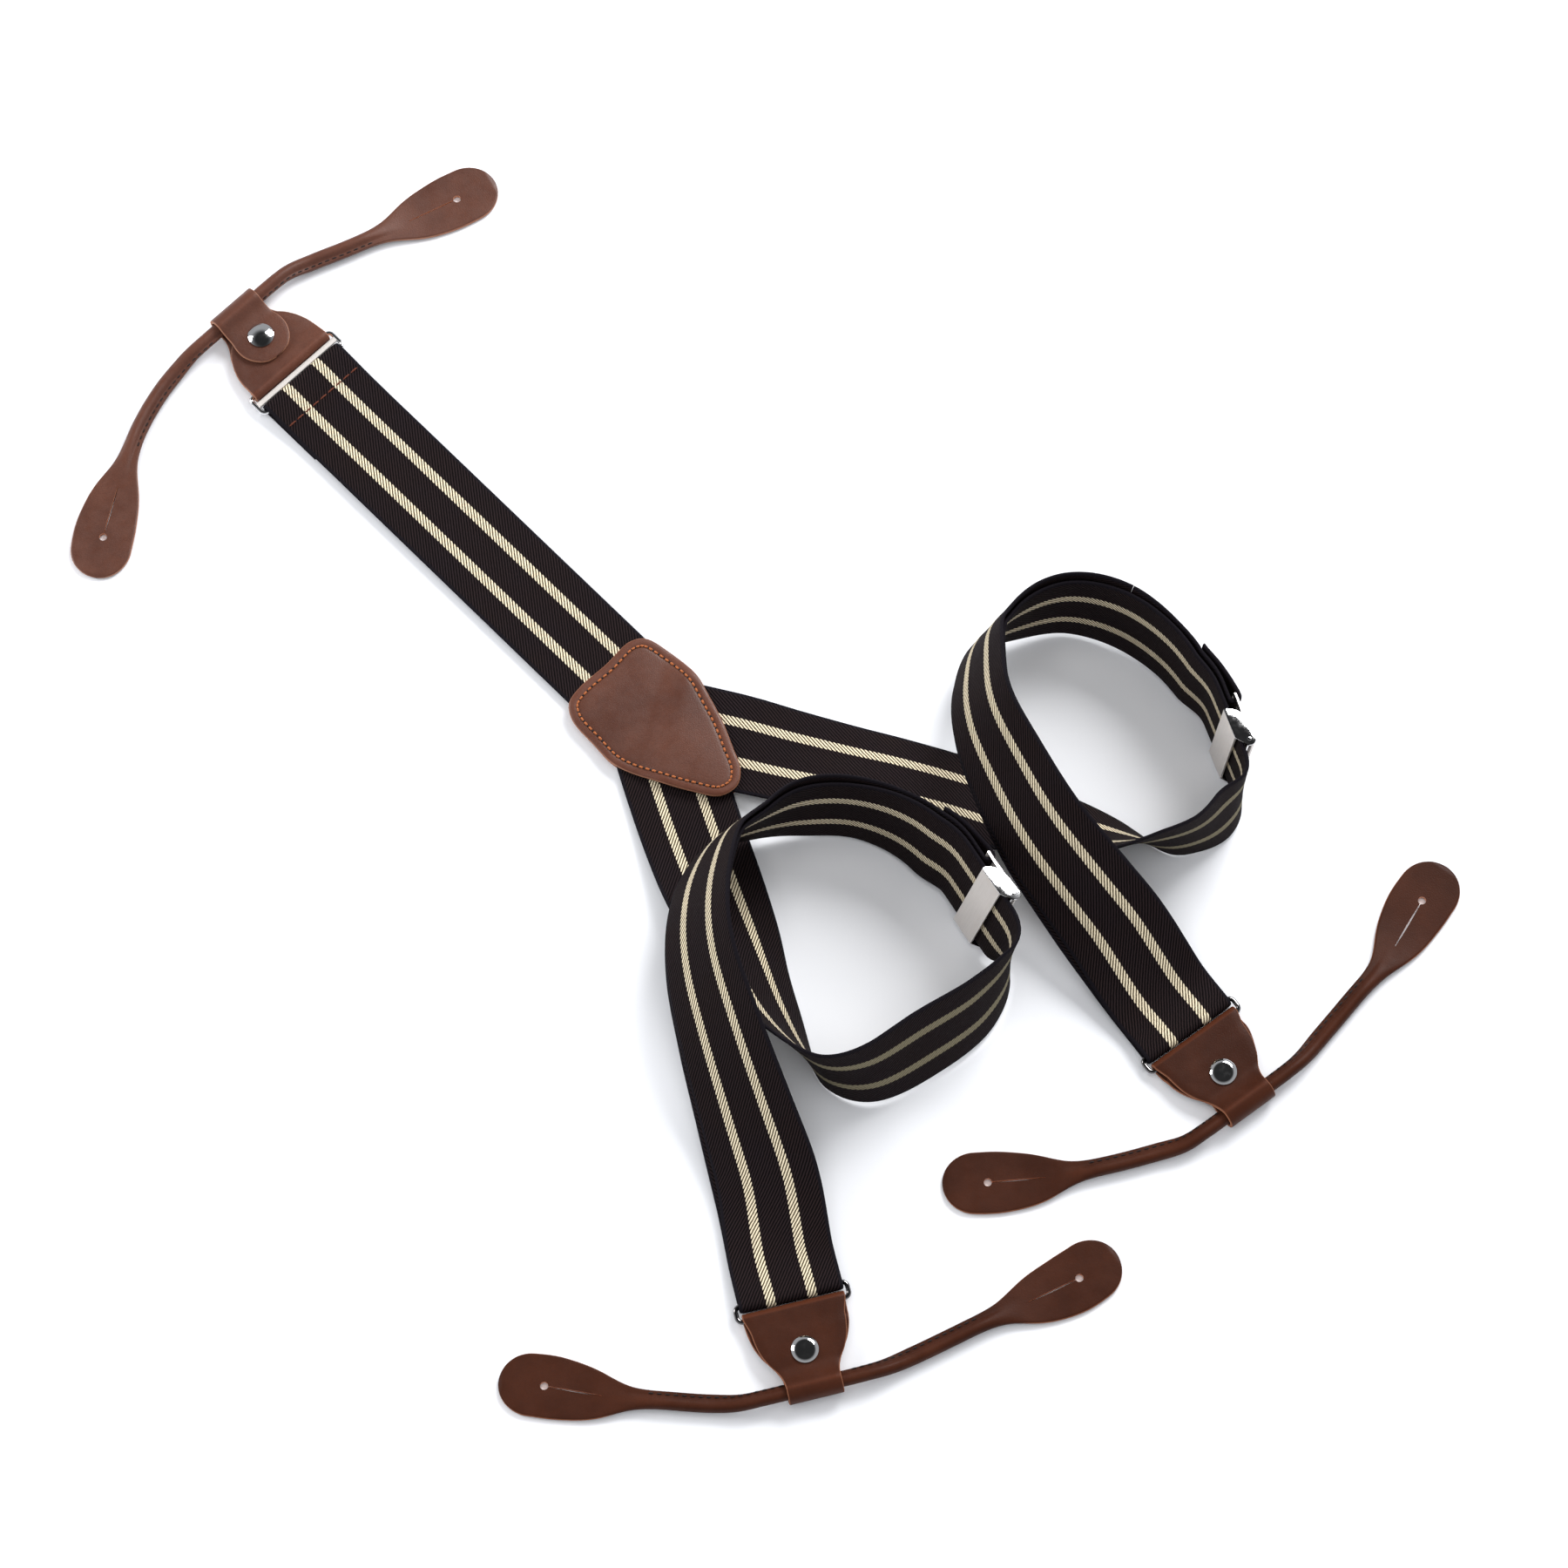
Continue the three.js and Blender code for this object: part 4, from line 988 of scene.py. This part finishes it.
def rivet_meshes(name, place, domed):
    """The cap with its post, domed or flat, and the base under the hide."""
    rim = RIVET_CAP_DIA / 2
    z = RIVET_CAP_Z
    post = RIVET_POST_DIA / 2
    cap = [
        [0.05, RIVET_BASE_Z[1] + 0.1], [post, RIVET_BASE_Z[1] + 0.1], [post, z], [rim - 0.3, z],
        [rim - 0.05, z + 0.05],
    ]
    if domed:
        cap += [[r, z + 0.1 + DOME_RISE * (1 - (r / rim) ** 2)] for r in np.linspace(rim, 0.05, 12)]
    else:
        slope = [
            (0, 0.12), (0.12, 0.22), (0.45, 0.45), (0.8, 0.65), (1.15, 0.8), (1.5, 0.89), (2.1, 0.93),
            (3.2, 0.95), (rim - 0.4, 0.96), (rim - 0.05, 0.96),
        ]
        cap += [[rim - inset, z + rise] for inset, rise in slope]
    base = [
        [0.05, 0.12], [3.2, 0.12], [3.75, 0.18], [4, 0.4], [3.9, 0.62], [3.6, 0.78], [0.05, 0.78],
    ]
    return [loft_mesh(f"{name}_rivet_{kind}_turned", place(lathe(profile, RIVET_X, 0, 40)), 35)
            for kind, profile in (("cap", cap), ("base", base))]


# ---------------- slide adjusters
def plate(outline, y_range, bevel):
    """An outline in x and z made solid between two places along y, with softened edges, in millimetres."""
    count = len(outline)
    verts = [(x, y, z) for y in y_range for x, z in outline]
    bm = bmesh.new()
    points = [bm.verts.new(v) for v in verts]
    for face in loft_faces(2, count):
        bm.faces.new([points[i] for i in face])
    bmesh.ops.recalc_face_normals(bm, faces=bm.faces)
    edges = [e for e in bm.edges if e.calc_face_angle(0) > math.radians(35)]
    bmesh.ops.bevel(bm, geom=edges, offset=bevel, segments=2, affect="EDGES", profile=0.6)
    bm.verts.index_update()
    points = np.array([v.co[:] for v in bm.verts])
    faces = [tuple(v.index for v in f.verts) for f in bm.faces]
    bm.free()
    return points, faces


def both_sides(outline, y_range, bevel):
    return [plate(outline, sorted((turn * y_range[0], turn * y_range[1])), bevel) for turn in (1, -1)]


def rod(x, z, radius, half_length):
    """A bar across the strap with rounded ends."""
    half = [(0.6, 1), (0.9, 0.93), (1, 0.8)]
    ends = [(radius * r, half_length - (1 - end) * radius) for r, end in half]
    profile = ends + [(r, -y) for r, y in ends[::-1]]
    rings = lathe(profile, x, z, 20)
    return rings[..., [0, 2, 1]].reshape(-1, 3), loft_faces(*rings.shape[:2])


def joined(name, parts, place, sharp):
    """One mesh from several closed shapes, with the lines of the satin finish along its y."""
    verts, faces, count = [], [], 0
    for points, corners in parts:
        verts.append(points)
        faces += [tuple(i + count for i in face) for face in corners]
        count += len(points)
    verts = np.vstack(verts)
    mesh = mesh_of(name, place(verts), faces, sharp)
    tag(mesh, "brush", verts * BRUSH_STRETCH)
    return mesh


def adjuster(side, route):
    p, forward, w, n = route.frame_at(route.adjuster_at)

    def place(points):
        return p + points[:, :1] * forward - points[:, 1:2] * w + points[:, 2:] * n

    ear = [
        [COVER_X[0], COVER_Z[1]], *arc(HINGE_X, HINGE_Z, 2.2, 150, 285, 10),
        [-1.5, -4.3], [2.2, -3.9], [4.4, -2.6], [5.8, -0.8], [COVER_X[1], 0.8], [COVER_X[1], COVER_Z[1]],
    ]
    cheek = [
        *arc(HINGE_X, HINGE_Z, 2, 90, 270, 10), [END_BAR_X, END_BAR_Z - 0.7],
        *arc(END_BAR_X, END_BAR_Z, 0.8, -60, 90, 6), [1, -2.9], [0, -0.4],
    ]
    (x0, x1), (low, high) = COVER_X, COVER_Z
    third, crown = (x1 - x0) / 3, high + COVER_CROWN
    cover = [[x0, low], [x1, low], [x1, high], [x1 - third, crown], [x0 + third, crown], [x0, high]]
    (x0, x1), (low, high) = BACK_X, BACK_Z
    back = [[x0, low], [x1, low], [x1, high], [x0, high]]
    cover_y, back_y = EAR_Y[0] + SUNK, CHEEK_Y[0] + SUNK
    end_bar = rod(END_BAR_X, END_BAR_Z, END_BAR_DIA / 2, CHEEK_Y[1] - SUNK)
    pin = rod(HINGE_X, HINGE_Z, HINGE_DIA / 2, EAR_Y[1] + PIN_OUT)
    for name, parts, sharp, look, body, node in (
        ("lever_ears", both_sides(ear, EAR_Y, 0.12), 30, chrome, "lever", "lever"),
        ("lever_cover", [plate(cover, (-cover_y, cover_y), 0.18)], 45, brushed, "lever", None),
        ("frame_plate", [plate(back, (-back_y, back_y), 0.15), end_bar], 45, brushed, "adjuster", "frame"),
        ("frame_cheeks", both_sides(cheek, CHEEK_Y, 0.1), 30, chrome_painted_dark, "adjuster", None),
        ("hinge_pin", [pin], 30, chrome, "adjuster", "pin"),
    ):
        nodes = [f"{side}_adjuster_{node}"] if node else ()
        piece(joined(f"{side}_{name}", parts, place, sharp), look, f"{side}_{body}", nodes)


# ---------------- button cords
# Half width of the tab at a distance from its tip, past the round end.
TAB_PROFILE = [[11, 10.5], [15.5, 10.6], [20, 10.4], [29, 9], [37, 6.6], [44, 4.6], [52, 3.4], [58, 3.1]]
TIP_LENGTH = 11
TAB_THICK = 1.5
BEAD_RADIUS = 2.15  # the rolled core, beside its sewn flange
BEAD_CENTRE = 0.45
FLANGE = 3.5
FLANGE_THICK = 1.6
FLANGE_TUCK = 0.8  # narrower in the tunnel
SEAM_OFFSET = 2.35
SEAM_PITCH = 2.7
SEAM_FROM_TIP = 50
SEAM_GAP = 11  # none on either side of the cord's middle, which is in the tunnel
ROLLED = (33, 56)  # from the tip, where the flat hide becomes the rolled cord
CORD_LIES = (22, 56)  # from the tip, where the flat tab rises to the cord's height
TUNNEL_LEVEL = (17.5, 34)  # from the tunnel's middle, where the cord comes down from it


def tab_half_width(distance):
    rest = spline(TAB_PROFILE, np.linspace(0, len(TAB_PROFILE) - 1, 200), True)
    along = np.interp(distance, rest[:, 0], rest[:, 1])
    tip = TAB_HALF * np.sqrt(np.clip(1 - (1 - distance / TIP_LENGTH) ** 2, 0.0006, 1))
    return np.where(distance < TIP_LENGTH, tip, along)


def cord_sections(tip_distance, in_tunnel):
    """Flat hide at the tabs, folded round a core and sewn beside it between them."""
    count = 25
    spread = -np.cos(np.linspace(0, math.pi, count))
    sections = []
    for distance, tunnel in zip(tip_distance, in_tunnel):
        half = float(tab_half_width(distance))
        thick = TAB_THICK / 2 * min(1, 0.35 + distance / 2)
        edge = min(0.5, half * 0.6)
        past = np.clip((np.abs(spread * half) - (half - edge)) / edge, 0, 1)
        flat = np.stack([thick * np.sqrt(1 - past ** 2 * 0.999), spread * half], 1)
        low, high = FLANGE_TUCK * tunnel - FLANGE, BEAD_CENTRE + BEAD_RADIUS
        b = (low + high) / 2 + spread * (high - low) / 2
        ball = np.sqrt(np.clip(BEAD_RADIUS ** 2 - (b - BEAD_CENTRE) ** 2, 0, None))
        lip = FLANGE_THICK / 2 * np.sqrt(np.clip(1 - np.clip((low + 0.5 - b) / 0.5, 0, 1) ** 2, 0.001, 1))
        lip *= np.clip((high - b) / 0.8, 0, 1)
        bead = np.stack([(ball ** 4 + lip ** 4) ** 0.25, b], 1)
        top = flat + (bead - flat) * smooth(distance, *ROLLED)
        sections.append(np.vstack([top, (top * [-1, 1])[-2:0:-1]]))
    return np.array(sections)


def cord_height(flat, from_tip):
    """Height of the cord's middle at flat places, and how much each of them is in the tunnel."""
    in_tunnel = 1 - smooth(np.abs(flat[:, 1]), *TUNNEL_LEVEL)
    lying = 1 - smooth(from_tip, *CORD_LIES)
    z = CORD_LIE_Z + (TUNNEL_Z - CORD_LIE_Z) * in_tunnel - (CORD_LIE_Z - TAB_LIE_Z) * lying
    return z, in_tunnel


def button_cord(name, place, route, hide):
    """The cord with its two tabs, cut through for the buttons, and its row of stitches."""
    path = Path(route)
    length = path.length
    tip = (1 - np.cos(np.linspace(0, math.pi / 2, 16)[1:])) * TIP_LENGTH
    ends = np.concatenate([[0.02], tip, np.arange(12.5, 60, 1.5)])
    inner = np.linspace(60, length - 60, 52)
    marks = np.concatenate([ends, inner, (length - ends)[::-1]])
    flat = path.point(marks)
    from_tip = np.minimum(marks, length - marks)
    z, in_tunnel = cord_height(flat, from_tip)
    p = np.column_stack([flat, z])
    sections = cord_sections(from_tip, in_tunnel)
    rings = swept(p, level(sideways(path.forward(marks))), sections)
    mesh = loft_mesh(f"{name}_button_loop", place(rings), 70)
    across = sections[..., 1]
    near_edge = smooth(np.abs(across).max(1)[:, None] - np.abs(across), 0.22, 0.02)
    flat_part = 1 - smooth(from_tip, 36, 50)[:, None]
    tag(mesh, "raw", (near_edge * flat_part * 0.9).ravel())
    # A painted highlight along the top of the rolled bead, in the leather's lighter, redder tint.
    ridge = smooth(np.abs(across - 0.4), 1.8, 0.2) * smooth(from_tip, 34, 48)[:, None]
    tag(mesh, "wear_and_highlight", (ridge * 0.35).ravel())
    mesh = carved(mesh, buttonhole_tools(place, path), hide, raw_leather, 60)
    body = f"{name}_cord"
    piece(mesh, None, body, [f"{name}_button_cord"], f"{name}_button_loop")
    cord_seam(name, place, path, body)


def cord_seam(name, place, path, body):
    """The stitches that close the hide beside its core, between the tabs and the tunnel."""
    length, middle = path.length, path.length / 2
    seam = np.concatenate([
        np.arange(SEAM_FROM_TIP, middle - SEAM_GAP, SEAM_PITCH),
        np.arange(middle + SEAM_GAP, length - SEAM_FROM_TIP, SEAM_PITCH),
    ])
    line, ahead = path.point(seam), path.forward(seam)
    height = cord_height(line, np.minimum(seam, length - seam))[0] + TAB_THICK / 2 + 0.07
    spots = np.column_stack([line - SEAM_OFFSET * sideways(ahead), height])
    direction = place(spots + level(ahead)) - place(spots)
    sew(f"{name}_cord_stitches", dark_thread, body, place(spots), direction, UP, CORD_STITCH)


def buttonhole_tools(place, path):
    tools = []
    for hole_at in (BUTTON_HOLE_FROM_TIP, path.length - BUTTON_HOLE_FROM_TIP):
        inward = math.copysign(SLIT_LENGTH, path.length / 2 - hole_at)
        hole, slit_end = path.point([hole_at, hole_at + inward])
        tools += [hole_tool(place, hole), slit_tool(place, hole, slit_end)]
    return tools


def hole_tool(place, spot):
    profile = [(BUTTON_HOLE_DIA / 2, z) for z in CUT_Z]
    return loft_mesh("hole", place(lathe(profile, *spot, 28)))


def slit_tool(place, start, end):
    """A long thin leaf: a slit that stands a little open at its middle."""
    along = unit(end - start)
    side = np.array([-along[1], along[0]])
    steps = np.linspace(0, 1, 9)
    spread = SLIT_WIDTH / 2 * (0.35 + 0.65 * np.sin(steps * math.pi))
    line = start + np.outer(steps, end - start)
    outline = np.vstack([line + side * spread[:, None], (line - side * spread[:, None])[::-1]])
    return loft_mesh("slit", place([level(outline) + z * UP for z in CUT_Z]))


def ring_end(name, end, ring_length, middle_bar, bell_on_top, cord_route):
    """A ring with its saddle, rivet and button cord. The front ones have the bell of the saddle on top."""
    place = EndFrame(end)
    on_bar = EndFrame(end, ring_length)
    # The front ends wear the darkened copies of the chrome and the leather, which paint their shade and
    # dark reflections.
    wire, hide = (chrome_painted_dark, shaded_front_leather) if bell_on_top else (chrome, leather)
    ring, saddle = f"{name}_ring", f"{name}_saddle"
    piece(ring_mesh(f"{name}_ring_wire", place, ring_length), wire, ring, [ring])
    if middle_bar:
        piece(middle_bar_mesh(f"{name}_ring_middle_bar", place, middle_bar), brushed, ring)
    piece(saddle_mesh(f"{name}_saddle_hide", on_bar, bell_on_top), hide, saddle, [saddle])
    cap, base = rivet_meshes(name, on_bar, domed=not bell_on_top)
    piece(cap, chrome, saddle, [f"{name}_rivet_cap"])
    piece(base, chrome, saddle, [f"{name}_rivet_base"])
    button_cord(name, place, cord_route, hide)


# ---------------- make the pieces
back_strap()
for side, route in (
    ("right", StrapRoute(RIGHT_ROUTE, RIGHT_FRONT, RIGHT_ADJUSTER_AT)),
    ("left", StrapRoute(LEFT_ROUTE, LEFT_FRONT, LEFT_ADJUSTER_AT)),
):
    shoulder_strap(side, route)
    adjuster(side, route)
yoke_top()
yoke_bottom()
yoke_sewing()
ring_end("rear", REAR, REAR_RING_LENGTH, REAR_MIDDLE_BAR, False, REAR_CORD)
ring_end("right_front", RIGHT_FRONT, FRONT_RING_LENGTH, 0, True, RIGHT_FRONT_CORD)
ring_end("left_front", LEFT_FRONT, FRONT_RING_LENGTH, 0, True, LEFT_FRONT_CORD)

# ---------------- stage and light
STAGE_RADIUS = 4.0
STAGE_SIDES = 96
floor_mesh = bpy.data.meshes.new("floor")
floor_points = level(STAGE_RADIUS * round_section(STAGE_SIDES)).tolist()
floor_mesh.from_pydata(floor_points, [], [tuple(range(STAGE_SIDES))])
floor = add_object("floor", floor_mesh)
floor_look = Look("white_table", Roughness=0.9, Specular_IOR_Level=0.1)
paper = floor_look.noise(8.0, detail=2.0)
floor_look.wear(Base_Color=floor_look.mix(paper, (0.86, 0.87, 0.9, 1), (0.88, 0.89, 0.92, 1)))
floor_mesh.materials.append(floor_look.material)


def softbox(name, location, size, power, in_reflections=True):
    """A white rectangle of light, turned to the middle of the layout."""
    light = bpy.data.lights.new(name, "AREA")
    light.shape = "RECTANGLE"
    light.size, light.size_y = size
    light.energy = power
    obj = add_object(name, light)
    obj.location = location
    aim = Vector((0.05, -0.05, 0)) - Vector(location)
    obj.rotation_euler = aim.to_track_quat("-Z", "Y").to_euler()
    obj.visible_glossy = in_reflections


softbox("key", (0.8, 1.1, 1.2), (0.8, 0.8), 32)
softbox("side", (-1.5, 0.35, 0.8), (0.6, 0.9), 15)
softbox("top_fill", (0.05, -0.2, 2.4), (2.4, 2.4), 27, in_reflections=False)

# A white backdrop for the camera. Surfaces see a room that darkens overhead, reflections half of it.
world = bpy.data.worlds.new("studio")
bpy.context.scene.world = world
room = Nodes(world)
way = room.add("ShaderNodeSeparateXYZ", {0: room.add("ShaderNodeTexCoord").outputs["Generated"]})
sky = room.ramp(way.outputs["Z"], 0.55, 0.9, 0.8, 0.05)
seen = room.add("ShaderNodeLightPath").outputs
dim = room.math("MULTIPLY_ADD", seen["Is Glossy Ray"], -0.5, 1.0)
shade = room.add("ShaderNodeMix", {"Factor": seen["Is Camera Ray"], "A": room.times(sky, dim), "B": 1.0})
background = room.tree.nodes["Background"]
room.give(background.inputs["Strength"], shade.outputs["Result"])
room.give(background.inputs["Color"], (0.95, 0.97, 1, 1))

scene = bpy.context.scene
scene.view_settings.view_transform = "Standard"
scene.view_settings.look = "None"
